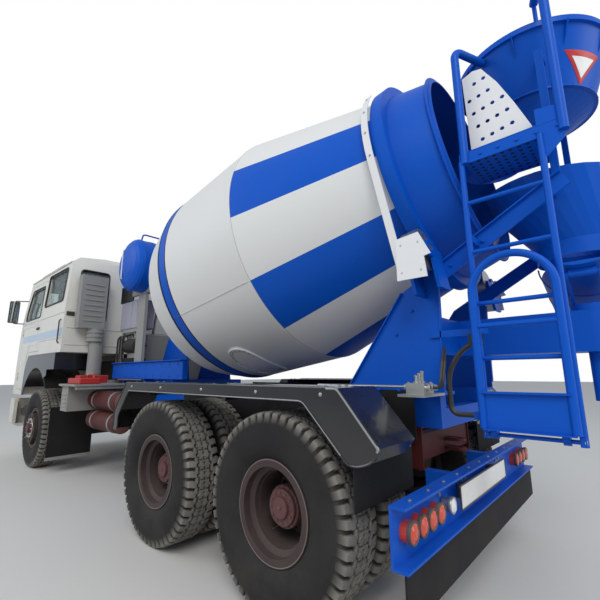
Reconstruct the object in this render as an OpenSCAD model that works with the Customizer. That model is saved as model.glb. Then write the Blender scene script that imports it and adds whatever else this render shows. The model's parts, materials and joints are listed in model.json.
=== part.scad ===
// Concrete mixer truck: three axles, forward-control sleeper cab, tilted drum.
// +X is the truck's front, +Y its left side, +Z up, Z 0 the ground.
// Lengths inside the modules are measured from the rearmost axle; place() centres the truck.

/* [Wheels] */
// Diameter of a tyre over its lugs
tyre_d = 1120; // [1040:5:1180]
// Section width of a tyre
tyre_w = 300; // [270:5:315]
// Diameter of the bead seat of a rim
rim_seat_d = 508; // [490:2:530]
// Width across the two flanges of a rim
rim_w = 240; // [210:5:250]
// Height of a rim flange over its bead seat
rim_flange_h = 34; // [20:1:40]
// Thickness of the rim's steel
rim_t = 12; // [8:1:16]
// Width over the outer faces of the rear tyres
track_over_tyres = 2440; // [2380:10:2500]
// Gap between the two tyres of a pair
dual_gap = 45; // [35:5:70]
// Middle of a front tyre, out from the centreline
front_tyre_y = 1040; // [1010:5:1060]
// Radius of a rear planetary hub
rear_hub_r = 120; // [110:5:160]
// Depth of a rear hub's cap inside the tyres' outer face
rear_hub_in = 100; // [60:5:120]
// Radius of a front hub
front_hub_r = 105; // [85:5:125]

/* [Axles] */
// Distance between the two rear axles
bogie_spacing = 1400; // [1330:10:1480]
// Distance from the front axle to the first rear axle
wheelbase = 3840; // [3700:10:4200]
// Kingpin, out from the centreline
kingpin_y = 860; // [840:5:880]
// Radius of a kingpin
kingpin_r = 24; // [18:1:30]
// Radius of a rear axle tube
axle_tube_r = 75; // [60:5:90]

/* [Frame] */
// Width over the two frame rails
frame_w = 860; // [800:10:900]
// Height of a frame rail
rail_h = 260; // [220:10:280]
// Width of a frame rail's flange
rail_flange = 85; // [70:5:100]
// Thickness of the frame rail
rail_t = 10; // [7:1:14]
// Height of the top of the frame over the ground
frame_top = 1000; // [960:10:1040]
// Frame end behind the last axle
frame_rear = 600; // [560:10:700]
// Length from the front axle to the bumper's face
front_overhang = 1400; // [1340:10:1500]
// Height of the mixer's own subframe
subframe_h = 210; // [160:10:215]
// Width of a subframe beam
subframe_w = 90; // [70:5:110]

/* [Drum] */
// Tilt of the drum's axis
drum_tilt = 9.5; // [8:0.5:11]
// Joint of the cylinder and rear cone, forward of the last axle
drum_x = 560; // [500:10:620]
// Height of that joint's centre
drum_z = 2612; // [2590:5:2700]
// Radius of the drum's cylinder
drum_r = 1135; // [1080:5:1140]
// Length of the cylinder
drum_cyl = 1150; // [1050:10:1250]
// Length of the front cone
drum_front_cone = 350; // [300:10:400]
// Radius where the front cone meets the dished head
drum_head_r = 1050; // [980:10:1080]
// Depth of the dished head
drum_head_depth = 230; // [180:10:260]
// Length of the rear cone as far as the running ring
drum_rear_cone = 1170; // [1100:10:1220]
// Radius of the drum at the running ring
drum_ring_seat_r = 800; // [780:5:820]
// Length from the running ring to the mouth
drum_neck = 380; // [340:10:420]
// Radius of the mouth
drum_mouth_r = 705; // [680:5:730]
// Thickness of the drum's shell
drum_wall = 10; // [6:1:14]
// Radius of the running ring's track
ring_r = 850; // [835:5:870]
// Width of the running ring
ring_w = 90; // [70:5:110]
// Radius of a support roller
roller_r = 135; // [120:5:150]
// Angle of a roller from the foot of the running ring
roller_angle = 42; // [38:1:46]

/* [Cab] */
// Length of the cab
cab_length = 2420; // [2320:10:2470]
// Half of the cab's width
cab_half_w = 1210; // [1180:5:1225]
// Height of the cab's drip line
cab_drip_z = 2960; // [2900:10:3020]
// Rise of the roof over the drip line
cab_crown = 165; // [120:5:200]
// Height of the cab's floor edge behind the wheel
cab_sill_z = 1655; // [1640:5:1700]
// Height of the cab's lower front edge
cab_front_z = 1020; // [1000:5:1050]
// Thickness of the cab's walls and doors
cab_wall = 45; // [35:1:55]
// Thickness of the glass
glass_t = 6; // [4:1:8]
// Seam round a door
door_gap = 6; // [5:1:9]

/* [Body] */
// Height of the rear fender's flat top
fender_top = 1270; // [1250:5:1290]
// Depth of the fender's outer skirt
fender_skirt = 75; // [50:5:90]
// Thickness of a fender's sheet
fender_t = 6; // [4:1:8]
// Radius of the water tank
tank_r = 350; // [320:5:365]
// Length of the water tank over its straight shell
tank_len = 1500; // [1300:10:1560]
// Middle of the water tank, forward of the last axle
tank_x = 3150; // [3120:5:3200]
// Height of the water tank's middle
tank_z = 2780; // [2750:5:2820]

/* [Rear] */
// Face of the rear bumper behind the last axle
bumper_x = 868; // [840:5:900]
// Half of the rear bumper's length
bumper_half = 1220; // [1180:5:1230]
// Lower edge of the rear bumper
bumper_z = 508; // [490:2:540]
// Height of the rear bumper's channel
bumper_h = 260; // [220:5:280]
// Front rail of the ladder, behind the last axle
ladder_x = 1065; // [1055:5:1085]
// Width between the ladder's rails
ladder_w = 405; // [380:5:430]
// Ladder's plane, left of the centreline
ladder_y = 640; // [620:5:660]
// Foot of the fixed ladder over the ground
ladder_foot = 1010; // [980:10:1060]
// Height at which the ladder's upper rail turns to the hopper
ladder_top = 3370; // [3300:10:3390]
// Radius of a ladder tube
ladder_tube_r = 17; // [14:1:20]
// Step from rung to rung
rung_step = 300; // [280:5:320]
// Chute post behind the last axle
chute_x = 1530; // [1500:5:1560]
// Radius of the chute post
chute_post_r = 45; // [35:1:50]
// Radius of the chute's trough
chute_r = 270; // [260:5:280]
// Length of the chute's main trough
chute_len = 1080; // [980:10:1100]
// Length of the chute's folding end
chute_end_len = 460; // [440:10:500]
// Slope of the chute from the level
chute_slope = 22; // [18:1:26]
// Sheet thickness of hopper, funnel and chute
sheet_t = 6; // [4:1:8]
// Middle of the charging hopper's rim, behind the last axle
hopper_x = 1380; // [1360:10:1400]
// Radius of the charging hopper's rim
hopper_r = 470; // [450:10:490]

/* [Hidden] */
$fn = 64;

fit = 0.3; // seam between pieces of different bodies
pin_gap = 0.05; // radial clearance of a running pin

wheel_r = tyre_d / 2;
mid_x = bogie_spacing;
front_x = bogie_spacing + wheelbase;
outer_y = track_over_tyres / 2 - tyre_w / 2; // middle of the outer tyre
inner_y = outer_y - tyre_w - dual_gap; // middle of the inner tyre
disc_y = (outer_y + inner_y) / 2; // mounting plane of the pair
rail_y = frame_w / 2;
rail_z0 = frame_top - rail_h;
front_end = front_x + front_overhang;
nose = front_end - 20; // cab's front face
cab_rear = nose - cab_length; // cab's rear wall
sub_front = cab_rear - 200; // front end of the mixer's subframe
gearbox_x = front_x - 1540; // rear face of the gearbox
rear_end = hopper_x + hopper_r; // rearmost edge, on the hopper's rim
place_x = (rear_end - front_end) / 2; // last axle's place in the truck's own frame
sub_top = frame_top + subframe_h;
sub_y = rail_y - subframe_w; // inner face of a subframe beam
ring_t = drum_rear_cone + ring_w / 2; // running ring's middle along the axis
roller_reach = ring_r + roller_r + fit;
roller_y = roller_reach * sin(roller_angle);
roller_up = -roller_reach * cos(roller_angle); // across the axis, below it
head_t = -drum_cyl - drum_front_cone; // dished head's joint along the axis
hub_t = head_t - drum_head_depth;

module place() { translate([place_x, 0, 0]) children(); }

module both_sides() {
    children();
    mirror([0, 1, 0]) children();
}

// A block from its low and high corners
module block(lo, hi) { translate(lo) cube(hi - lo); }

// A rod between x0 and x1, y0 and y1 or z0 and z1
module rod_x(r, x0, x1, y, z) { translate([x0, y, z]) rotate([0, 90, 0]) cylinder(r = r, h = x1 - x0); }
module rod_y(r, y0, y1, x, z) { translate([x, y0, z]) rotate([-90, 0, 0]) cylinder(r = r, h = y1 - y0); }
module rod_z(r, z0, z1, x, y) { translate([x, y, z0]) cylinder(r = r, h = z1 - z0); }

// A plate drawn in the side view, between y0 and y1
module side_plate(y0, y1) {
    translate([0, y1, 0]) rotate([90, 0, 0]) linear_extrude(y1 - y0) children();
}

// A plate drawn in the end view with Y across and Z up, between x0 and x1
module end_plate(x0, x1) {
    translate([x0, 0, 0]) rotate([90, 0, 90]) linear_extrude(x1 - x0) children();
}

// The drum's frame: Z along its axis to the mouth, X up across it, Y left
module on_drum() {
    translate([drum_x, 0, drum_z]) rotate([0, drum_tilt - 90, 0]) children();
}

// Wheels

// Tyre about the Z axis: carcass with bulged walls, open at the beads
module tyre_ring() {
    half = tyre_w / 2;
    bead = rim_w / 2 - rim_t;
    seat = rim_seat_d / 2;
    carcass = 26;
    rotate_extrude($fn = 96) difference() {
        polygon([
            [seat, -bead], [seat + rim_flange_h, -bead], [seat + 60, -half * 0.9],
            [seat + 130, -half], [wheel_r - 110, -half * 0.98], [wheel_r - 40, -half * 0.92],
            [wheel_r - 8, -half * 0.86], [wheel_r, -half * 0.6], [wheel_r, half * 0.6],
            [wheel_r - 8, half * 0.86], [wheel_r - 40, half * 0.92], [wheel_r - 110, half * 0.98],
            [seat + 130, half], [seat + 60, half * 0.9], [seat + rim_flange_h, bead], [seat, bead]
        ]);
        polygon([
            [seat - 1, 30 - bead], [seat + 60, carcass - half * 0.9], [wheel_r - 110, carcass - half],
            [wheel_r - 60, carcass * 2 - half], [wheel_r - 60, half - carcass * 2],
            [wheel_r - 110, half - carcass], [seat + 60, half * 0.9 - carcass], [seat - 1, bead - 30]
        ]);
    }
}

// Rim about the Z axis: barrel with a well, and a disc with its bolting face at z = dish
module rim_ring(dish, hub_r, hand_holes) {
    seat = rim_seat_d / 2 - fit;
    half = rim_w / 2;
    well = 30;
    wall_r = seat - well - rim_t + 4;
    plate_t = rim_t * 1.4;
    face = dish > 0 ? dish - plate_t : dish;
    rotate_extrude($fn = 96) polygon([
        [seat + rim_flange_h, -half], [seat + rim_flange_h, rim_t - half], [seat, rim_t - half],
        [seat, -half * 0.3], [seat - well, -half * 0.15], [seat - well, half * 0.4],
        [seat, half * 0.55], [seat, half - rim_t], [seat + rim_flange_h, half - rim_t],
        [seat + rim_flange_h, half], [seat - rim_t, half], [seat - rim_t, half * 0.6],
        [seat - well - rim_t, half * 0.45], [seat - well - rim_t, -half * 0.2],
        [seat - rim_t, -half * 0.35], [seat - rim_t, -half]
    ]);
    difference() {
        union() {
            translate([0, 0, face]) cylinder(r = wall_r, h = plate_t);
            translate([0, 0, min(face, 0)]) cylinder(r = wall_r, h = abs(face) + (face < 0 ? 20 : 2));
        }
        translate([0, 0, face < 0 ? face + plate_t : -20]) cylinder(r = wall_r - rim_t, h = abs(face) + 20);
        for (k = [0:hand_holes - 1])
            rotate([0, 0, (k + 0.5) * 360 / hand_holes]) translate([wall_r - 46, 0, face - 50])
                cylinder(r = 24, h = plate_t + 100);
    }
}

module wheel_at(x, y) {
    translate([x, y, wheel_r]) rotate([-90, 0, 0]) children();
}

// Rear hub: drum brake, planetary casing and end cap, about Z outwards
module rear_hub() {
    reach = track_over_tyres / 2 - disc_y - rear_hub_in;
    cylinder(r = rear_hub_r, h = reach - 40);
    translate([0, 0, reach - 40]) cylinder(r = rear_hub_r * 0.86, h = 22);
    translate([0, 0, reach - 18]) cylinder(r = rear_hub_r * 0.5, h = 18);
    translate([0, 0, -rim_t * 2]) cylinder(r = rear_hub_r + 45, h = rim_t * 2);
    translate([0, 0, rim_t * 2 - 190]) difference() {
        cylinder(r = 188, h = 170 - rim_t * 2);
        translate([0, 0, -1]) cylinder(r = rear_bore, h = 120);
    }
}

module rear_rims(x) {
    wheel_at(x, outer_y) rim_ring(disc_y - outer_y, rear_hub_r - 1, 8);
    wheel_at(x, inner_y) mirror([0, 0, 1]) rim_ring(inner_y - disc_y, rear_hub_r - 1, 8);
    wheel_at(x, disc_y) rear_hub();
}

module rear_tyres(x) {
    for (y = [outer_y, inner_y]) wheel_at(x, y) tyre_ring();
}

module front_rim() {
    dish = 165;
    wheel_at(front_x, front_tyre_y) {
        rim_ring(dish, front_hub_r - 1, 8);
        translate([0, 0, dish - 60]) cylinder(r = front_hub_r, h = 70);
        translate([0, 0, dish + 10]) cylinder(r = front_hub_r * 0.62, h = 30);
        translate([0, 0, -90]) difference() {
            cylinder(r = 185, h = dish + 50);
            translate([0, 0, -1]) cylinder(r = spindle_bore, h = 160);
        }
    }
}

module front_tyre() { wheel_at(front_x, front_tyre_y) tyre_ring(); }

module tyre_front_left() { color("dimgray") place() front_tyre(); }
module rim_front_left() { color("rosybrown") place() front_rim(); }
module tyre_front_right() { color("dimgray") place() mirror([0, 1, 0]) front_tyre(); }
module rim_front_right() { color("rosybrown") place() mirror([0, 1, 0]) front_rim(); }
module tyres_mid_left() { color("dimgray") place() rear_tyres(mid_x); }
module rims_mid_left() { color("rosybrown") place() rear_rims(mid_x); }
module tyres_mid_right() { color("dimgray") place() mirror([0, 1, 0]) rear_tyres(mid_x); }
module rims_mid_right() { color("rosybrown") place() mirror([0, 1, 0]) rear_rims(mid_x); }
module tyres_rear_left() { color("dimgray") place() rear_tyres(0); }
module rims_rear_left() { color("rosybrown") place() rear_rims(0); }
module tyres_rear_right() { color("dimgray") place() mirror([0, 1, 0]) rear_tyres(0); }
module rims_rear_right() { color("rosybrown") place() mirror([0, 1, 0]) rear_rims(0); }

// Running gear

rear_bore = 87; // bore of a rear hub on its spindle
rear_pinion_up = 150; // height of the drive pinions over the axles

knuckle_h = 180; // height of the knuckle over its two ears
spindle_bore = 62; // bore of the front hub on its stub axle
beam_h = 110; // front axle beam's height
beam_w = 100; // front axle beam's width
spring_w = 90; // width of a leaf
spring_y = rail_y - spring_w / 2; // spring pack's middle
bogie_seat = wheel_r + 78; // top of the spring pads on the rear axles

// Knuckle: two ears on the kingpin and the stub axle
module knuckle() {
    ear = 40;
    difference() {
        union() {
            for (z = [wheel_r - knuckle_h / 2, wheel_r + knuckle_h / 2 - ear])
                rod_z(58, z, z + ear, front_x, kingpin_y);
            block([front_x - 58, kingpin_y + 62, wheel_r - knuckle_h / 2],
                [front_x + 58, kingpin_y + 86, wheel_r + knuckle_h / 2]);
            for (z = [wheel_r - knuckle_h / 2, wheel_r + knuckle_h / 2 - ear])
                block([front_x - 58, kingpin_y, z], [front_x + 58, kingpin_y + 62, z + ear]);
            rod_y(spindle_bore - pin_gap, kingpin_y + 86, kingpin_y + 200, front_x, wheel_r);
            block([front_x - 230, kingpin_y - 30, wheel_r - knuckle_h / 2],
                [front_x - 40, kingpin_y + 10, wheel_r - knuckle_h / 2 + 28]);
        }
        rod_z(kingpin_r + pin_gap, 0, wheel_r * 2, front_x, kingpin_y);
    }
}

module front_axle() {
    color("dimgray") place() {
        eye_h = knuckle_h - 2 * 40 - 2;
        drop = 70;
        side_y = kingpin_y - 180;
        block([front_x - beam_w / 2, -side_y, wheel_r - drop - beam_h],
            [front_x + beam_w / 2, side_y, wheel_r - drop]);
        both_sides() {
            end_plate(front_x - beam_w / 2, front_x + beam_w / 2) polygon([
                [side_y, wheel_r - drop - beam_h], [side_y, wheel_r - drop],
                [kingpin_y - 70, wheel_r + eye_h / 2], [kingpin_y, wheel_r + eye_h / 2],
                [kingpin_y, wheel_r - eye_h / 2], [kingpin_y - 70, wheel_r - eye_h / 2]
            ]);
            rod_z(50, wheel_r - eye_h / 2, wheel_r + eye_h / 2, front_x, kingpin_y);
            rod_z(kingpin_r, wheel_r - knuckle_h / 2 + 4, wheel_r + knuckle_h / 2 - 4,
                front_x, kingpin_y);
        }
    }
}

module knuckle_left() { color("dimgray") place() knuckle(); }
module knuckle_right() { color("dimgray") place() mirror([0, 1, 0]) knuckle(); }

// Driven axle: tube, banjo casing and brake backplates
module drive_axle(x) {
    end = inner_y - 25;
    difference() {
        union() {
            rod_y(axle_tube_r, -end, end, x, wheel_r);
            translate([x, 0, wheel_r]) intersection() {
                sphere(r = 235);
                block([-235, -150, -235], [235, 150, 235]);
            }
        }
        rod_x(70, x, x + 300, 0, wheel_r + rear_pinion_up);
    }
    rod_x(70, x, x + 280, 0, wheel_r + rear_pinion_up);
    both_sides() {
        rod_y(rear_bore - pin_gap, end, inner_y + 115, x, wheel_r);
        rod_y(180, end, end + 20, x, wheel_r);
        block([x - 60, spring_y - spring_w / 2, wheel_r], [x + 60, spring_y + spring_w / 2, bogie_seat]);
    }
}

module rear_axles() {
    color("dimgray") place() {
        for (x = [0, mid_x]) drive_axle(x);
        rod_x(60, mid_x - 280, mid_x - 180, 0, wheel_r + rear_pinion_up);
    }
}

module springs() {
    in_y = spring_y - spring_w / 2;
    out_y = spring_y + spring_w / 2;
    front_seat = wheel_r - 70;
    front_t = 14;
    bogie_t = 12;
    bogie_leaves = 7;
    bogie_top = bogie_seat + bogie_leaves * bogie_t;
    pivot_x = mid_x / 2;
    color("dimgray") place() both_sides() {
        // front packs lie under the rails on the axle beam
        for (k = [0:7])
            block([front_x - 800 + k * 85, in_y, front_seat + k * front_t],
                [front_x + 800 - k * 85, out_y, front_seat + (k + 1) * front_t]);
        for (s = [-1, 1])
            block([front_x + s * 770 - 30, in_y, front_seat + front_t], [front_x + s * 770 + 30, out_y, rail_z0]);
        // bogie packs turn on a trunnion between the two rear axles
        for (k = [0:bogie_leaves - 1])
            block([pivot_x - 760 + k * 80, in_y, bogie_seat + k * bogie_t],
                [pivot_x + 760 - k * 80, out_y, bogie_seat + (k + 1) * bogie_t]);
        block([pivot_x - 110, in_y, wheel_r - 130], [pivot_x + 110, out_y, bogie_seat]);
        block([pivot_x - 100, in_y, bogie_top], [pivot_x + 100, out_y, rail_z0]);
        side_plate(rail_y, rail_y + 14) polygon([
            [pivot_x - 200, frame_top - 60], [pivot_x + 200, frame_top - 60], [pivot_x + 90, wheel_r - 140],
            [pivot_x - 90, wheel_r - 140]
        ]);
        rod_y(70, rail_y + 14, rail_y + 40, pivot_x, wheel_r - 60);
    }
    color("dimgray") place() rod_y(60, -in_y, in_y, pivot_x, wheel_r - 60);
}

module engine() {
    color("gray") place() {
        bell = front_x - 890; // joint of the engine and the gearbox
        block([bell, -330, 780], [front_x + 410, 330, 1560]);
        block([gearbox_x, -230, 700], [bell, 230, frame_top - 15]);
        both_sides() for (x = [bell + 150, bell + 1050])
            block([x, 330, rail_z0 + 110], [x + 100, rail_y - rail_t, rail_z0 + 160]);
    }
}

module prop_shaft() {
    color("dimgray") place() {
        z = wheel_r + rear_pinion_up;
        rod_x(50, mid_x + 280, gearbox_x, 0, z);
        rod_x(45, 280, mid_x - 280, 0, z);
    }
}

// Frame

module rail_profile() {
    difference() {
        square([rail_flange, rail_h]);
        translate([-1, rail_t]) square([rail_flange - rail_t + 1, rail_h - 2 * rail_t]);
    }
}

cross_x = [-frame_rear + 10, 340, 1060, 2300, gearbox_x - 300, front_x + 700];
rail_front = front_end - 60; // front end of the rails
tow_r = 22; // bore of the tow jaw
tow_t = 20; // thickness of each plate of the jaw
tilt_x = front_end - 80; // axis the cab tilts about
tilt_z = frame_top - 40;
tilt_pin_r = 20;
post_x = cab_rear + 70; // posts under the cab's rear

module frame_rails() {
    tow_len = 90;
    color("darkred") place() {
        both_sides() {
            translate([-frame_rear, rail_y - rail_flange, rail_z0])
                rotate([90, 0, 90]) linear_extrude(rail_front + frame_rear) rail_profile();
            rod_y(tilt_pin_r, rail_y - rail_t, rail_y + 44, tilt_x, tilt_z);
            block([post_x, rail_y - rail_flange, frame_top], [post_x + 60, rail_y, cab_sill_z - fit]);
        }
        for (x = cross_x)
            block([x, -rail_y + rail_t, rail_z0 + 50], [x + 70, rail_y - rail_t, frame_top - 50]);
        block([post_x, -rail_y + rail_flange, cab_sill_z - fit - 60],
            [post_x + 60, rail_y - rail_flange, cab_sill_z - fit]);
        // tow jaw on the rear crossmember
        for (z = [rail_z0 + 70, rail_z0 + 130]) difference() {
            union() {
                block([-frame_rear + 10 - tow_len, -45, z], [-frame_rear + 10, 45, z + tow_t]);
                rod_z(45, z, z + tow_t, -frame_rear + 10 - tow_len, 0);
            }
            rod_z(tow_r, z - 1, z + tow_t + 1, -frame_rear + 10 - tow_len, 0);
        }
    }
}

module subframe() {
    color("royalblue") place() {
        both_sides() block([-frame_rear - 140, sub_y, frame_top], [sub_front, rail_y, sub_top]);
        for (x = [-frame_rear - 140, 700, 2000, 3000, sub_front - 100])
            block([x, -sub_y, frame_top], [x + 90, sub_y, frame_top + 120]);
    }
}

// Front side: bumper, tanks, boxes, fenders

bumper_top = 940; // front bumper's upper edge
bumper_low = 480; // front bumper's lower edge

module front_bumper() {
    color("lightgray") place() {
        difference() {
            end_plate(front_end - 260, front_end) polygon([
                [-1215, bumper_low + 60], [-1130, bumper_low], [1130, bumper_low],
                [1215, bumper_low + 60], [1215, bumper_top], [-1215, bumper_top]
            ]);
            block([front_end - 261, -1165, bumper_low + 50], [front_end - 40, 1165, bumper_top + 1]);
            for (y = [-1, 1])
                rod_x(95, front_end - 60, front_end + 1, y * 980, 720);
        }
        both_sides() block([rail_front, rail_y - 100, rail_z0], [front_end - 40, rail_y, rail_z0 + 160]);
    }
}

module fuel_tank() {
    color("slategray") place() mirror([0, 1, 0]) {
        block([2250, rail_y + 60, 470], [3500, rail_y + 760, 1060]);
        for (x = [2450, 3250]) block([x, rail_y, 520], [x + 70, rail_y + 60, 980]);
        rod_z(55, 1060, 1100, 2420, rail_y + 600);
    }
}

module battery_box() {
    color("slategray") place() {
        x = cab_rear - 380;
        block([x, rail_y + 60, 880], [x + 240, rail_y + 740, 1200]);
        block([x - 320, rail_y + 60, 1200], [x + 300, rail_y + 770, 1225]);
        block([x - 300, rail_y, 1160], [x - 240, rail_y + 740, 1200]);
        for (k = [20, 160]) block([x + k, rail_y, 900], [x + k + 60, rail_y + 60, 980]);
    }
}

module air_tanks() {
    color("brown") place() {
        x = cab_rear - 1270;
        for (z = [770, 1020]) {
            rod_x(115, x, x + 840, rail_y + 400, z);
            for (k = [130, 670]) block([x + k, rail_y, z - 20], [x + k + 40, rail_y + 300, z + 20]);
        }
    }
}

// Rear fender in the side view, as a folded strip of sheet
fender_front = 2180;
flap_x = -606; // rear face of the bar that a rear flap hangs on

module fender_outline(t) {
    polygon([
        [fender_front - t, 830], [fender_front - t, 1000], [1960 - t / 2, fender_top - t],
        [-530 + t / 2, fender_top - t], [-740 + t, 1000], [-692, 932],
        [-700, 925], [-760, 1000], [-530, fender_top], [1960, fender_top],
        [fender_front, 1000], [fender_front, 830]
    ]);
}

module fender_skirt_outline() {
    polygon([
        [fender_front, 830], [fender_front, 1000], [1960, fender_top], [-530, fender_top],
        [-760, 1000], [-745, 958], [-700, 925], [-640, 905], [-580, 908], [-545, 945],
        [-290, fender_top - fender_skirt],
        [1900, fender_top - fender_skirt], [2090, 960], [2090, 830]
    ]);
}

module rear_fenders() {
    color("black") place() both_sides() {
        out = track_over_tyres / 2 + 14;
        inside = inner_y + tyre_w / 2 - 15;
        arm_z = wheel_r * 2 + 30;
        side_plate(inside, out - fender_t) fender_outline(fender_t);
        side_plate(out - fender_t, out) fender_skirt_outline();
        block([flap_x, 600, 915], [flap_x + 20, out - fender_t, 942]);
        for (x = [-400, 670, 1800]) {
            block([x, rail_y, arm_z], [x + 60, out - 200, arm_z + 30]);
            for (y = [inside + 20, out - 260])
                block([x, y, arm_z + 30], [x + 60, y + 60, fender_top - fender_t]);
        }
    }
}

module mudflaps() {
    color("black") place() {
        front_flap = front_x - 820;
        both_sides() {
            block([front_flap, 620, 200], [front_flap + 10, 1180, 900]);
            block([front_flap - 6, 620, 200], [front_flap, 1180, 240]);
            block([front_flap, rail_y, 860], [front_flap + 40, 620, 900]);
            block([flap_x - 8, 610, 690], [flap_x, 1225, 942]);
        }
        block([-bumper_x + 20, -bumper_half + 20, 290], [-bumper_x + 30, bumper_half - 20, bumper_z]);
    }
}

arch_r = 690; // radius of the front wheel arch
arch_z = 760; // height of the arch's centre

module front_fenders() {
    color("black") place() both_sides() {
        out = cab_half_w + 20;
        rear = cab_rear + 130;
        top = cab_sill_z - 10;
        side_plate(out - 8, out) difference() {
            polygon([
                [rear, 1420], [rear, top], [front_x + 560, top], [front_x + 698, 1400],
                [front_x + 698, 1020], [front_x + 600, 1020]
            ]);
            translate([front_x, arch_z]) circle(r = arch_r);
            translate([front_x - arch_r, 0]) square([arch_r * 2, arch_z]);
            translate([rear - 1, 0]) square([front_x - arch_r - rear + 120, 1420]);
        }
        side_plate(720, out - 8) difference() {
            translate([front_x, arch_z]) circle(r = arch_r + 8);
            translate([front_x, arch_z]) circle(r = arch_r);
            translate([front_x - arch_r - 10, 0]) square([arch_r * 2 + 20, 1150]);
        }
        block([rear, 720, 1420], [rear + 8, out - 8, top]);
        block([front_x - 40, rail_y - 60, frame_top], [front_x + 40, rail_y, arch_z + arch_r - 40]);
        block([front_x - 40, rail_y - 60, arch_z + arch_r - 40],
            [front_x + 40, 720, arch_z + arch_r + 2]);
    }
}

module air_intake() {
    color("gray") place() {
        x = cab_rear - 60;
        pipe_x = x - 72;
        block([x - 150, 740, 1985], [x, 1090, 2750]);
        for (k = [0:5]) translate([pipe_x, 830, 1805 + k * 30]) cylinder(r = k % 2 == 0 ? 118 : 106, h = 30);
        rod_z(92, 1330, 1805, pipe_x, 805);
        block([x - 180, rail_y, 1225], [x + 10, 1000, 1265]);
        block([x - 180, 640, 1225], [x + 10, 1000, 1330]);
        block([x - 120, rail_y - 80, frame_top], [x - 60, rail_y, 1330]);
    }
}

// Mixer drive and front support

drive_x = drum_x - hub_t * cos(drum_tilt); // hub face of the drum, forward of the last axle
drive_z = drum_z + hub_t * sin(drum_tilt);
pedestal_front = 2380;
pedestal_top = 2030; // underside of the gearbox seat

module front_pedestal() {
    color("royalblue") place() {
        block([pedestal_front - 80, -rail_y, sub_top], [sub_front, rail_y, sub_top + 60]);
        both_sides() side_plate(300, 320) polygon([
            [pedestal_front, sub_top + 60], [pedestal_front + 760, sub_top + 60],
            [pedestal_front + 420, pedestal_top], [pedestal_front + 130, pedestal_top]
        ]);
        block([pedestal_front + 130, -320, pedestal_top], [pedestal_front + 420, 320, pedestal_top + 25]);
    }
}

module drum_drive() {
    color("gray") place() {
        on_drum() translate([0, 0, hub_t - 330]) {
            cylinder(r = 190, h = 330 - fit);
            translate([0, 0, -170]) cylinder(r = 110, h = 170);
        }
        block([pedestal_front + 140, -180, pedestal_top + 25], [pedestal_front + 200, 180, 2140]);
    }
}

module water_tank() {
    color("royalblue") place() translate([tank_x, 0, tank_z]) rotate([90, 0, 0]) {
        rotate_extrude() polygon(concat(
            [for (a = [0:15:90]) [tank_r * cos(a), tank_len / 2 + 130 * sin(a)]],
            [for (a = [90:-15:0]) [tank_r * cos(a), -tank_len / 2 - 130 * sin(a)]]
        ));
    }
}

module power_pack() {
    saddle_z = tank_z - tank_r - 20;
    color("gray") place() {
        both_sides() {
            block([3040, 570, sub_top + 90], [3240, 610, saddle_z]);
            block([3240, 570, sub_top + 60], [3700, 610, sub_top + 100]);
            block([3660, 570, sub_top + 100], [3700, 610, 1950]);
            block([3240, 570, 1910], [3660, 610, 1950]);
            block([3000, rail_y, sub_top + 60], [3240, 610, sub_top + 90]);
            side_plate(570, 610) difference() {
                translate([tank_x - 300, saddle_z]) square([600, 200]);
                translate([tank_x, tank_z]) circle(r = tank_r + fit);
            }
        }
        block([3300, -540, sub_top + 60], [3620, 540, 1880]);
        for (x = [3340, 3540]) block([x, -570, 1840], [x + 40, 570, 1880]);
    }
}

// Rear support, rollers, ladder, hoppers

platform_z = 2640; // top of the bar in front of the ladder's platform
platform_h = 70; // height of that bar
upper_rail_r = 24; // radius of the rails over the platform
fold_y = ladder_y + 24; // axis the lower ladder folds about
fold_z = ladder_foot + 24;
fold_pin_r = 10;
collar_r = 240; // outlet collar of the discharge funnel
chute_clear_z = 2015; // lower edge of that collar

pedestal_y = 500; // outer face of a rear side plate
foot_front = -120;
foot_back = -800;
beam_end_x = -1560; // rear end of the two rising beams
roller_pin_r = 25;
guard_out = roller_r + 14; // a roller's cover, out from the roller's axis

module rear_pedestal() {
    arm_low = sub_top + 250;
    arm_top = sub_top + 490;
    side_t = 16;
    carrier_t = 20;
    color("royalblue") place() {
        both_sides() {
            side_plate(pedestal_y - side_t, pedestal_y) polygon([
                [foot_front, sub_top], [foot_front, sub_top + 60], [-560, 1880], [-700, 1960],
                [beam_end_x + 40, 2420], [beam_end_x, 2340], [-810, 1900], [foot_back, sub_top + 60],
                [foot_back, sub_top]
            ]);
            block([foot_back, sub_y, sub_top], [foot_front, pedestal_y - side_t, sub_top + 20]);
            // carriers of a roller: place along the drum's axis and reach to the cover
            on_drum() for (c = [[ring_t - ring_w / 2 - 42, guard_out - 30], [ring_t + ring_w / 2 + 22, guard_out]])
                translate([roller_up, roller_y, c[0]]) difference() {
                    union() {
                        cylinder(r = 48, h = carrier_t);
                        translate([-260, pedestal_y - roller_y, 0]) cube([260, roller_y - pedestal_y, carrier_t]);
                        translate([-60, 0, 0]) cube([40, c[1], carrier_t]);
                    }
                    translate([0, 0, -1]) cylinder(r = roller_pin_r + pin_gap, h = carrier_t + 2);
                }
        }
        block([-780, -pedestal_y + side_t, arm_low], [-740, pedestal_y - side_t, arm_top]);
        difference() {
            union() {
                block([-chute_x, -120, arm_low], [-780, 120, arm_top]);
                rod_z(chute_post_r + 75, arm_low, arm_top, -chute_x, 0);
            }
            rod_z(chute_post_r + pin_gap, arm_low - 1, arm_top + 1, -chute_x, 0);
        }
    }
}

module roller() {
    on_drum() translate([roller_up, roller_y, ring_t]) {
        cylinder(r = roller_r, h = ring_w + 10, center = true);
        cylinder(r = roller_pin_r, h = ring_w + 80, center = true);
    }
}

module roller_left() { color("silver") place() roller(); }
module roller_right() { color("silver") place() mirror([0, 1, 0]) roller(); }

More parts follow.
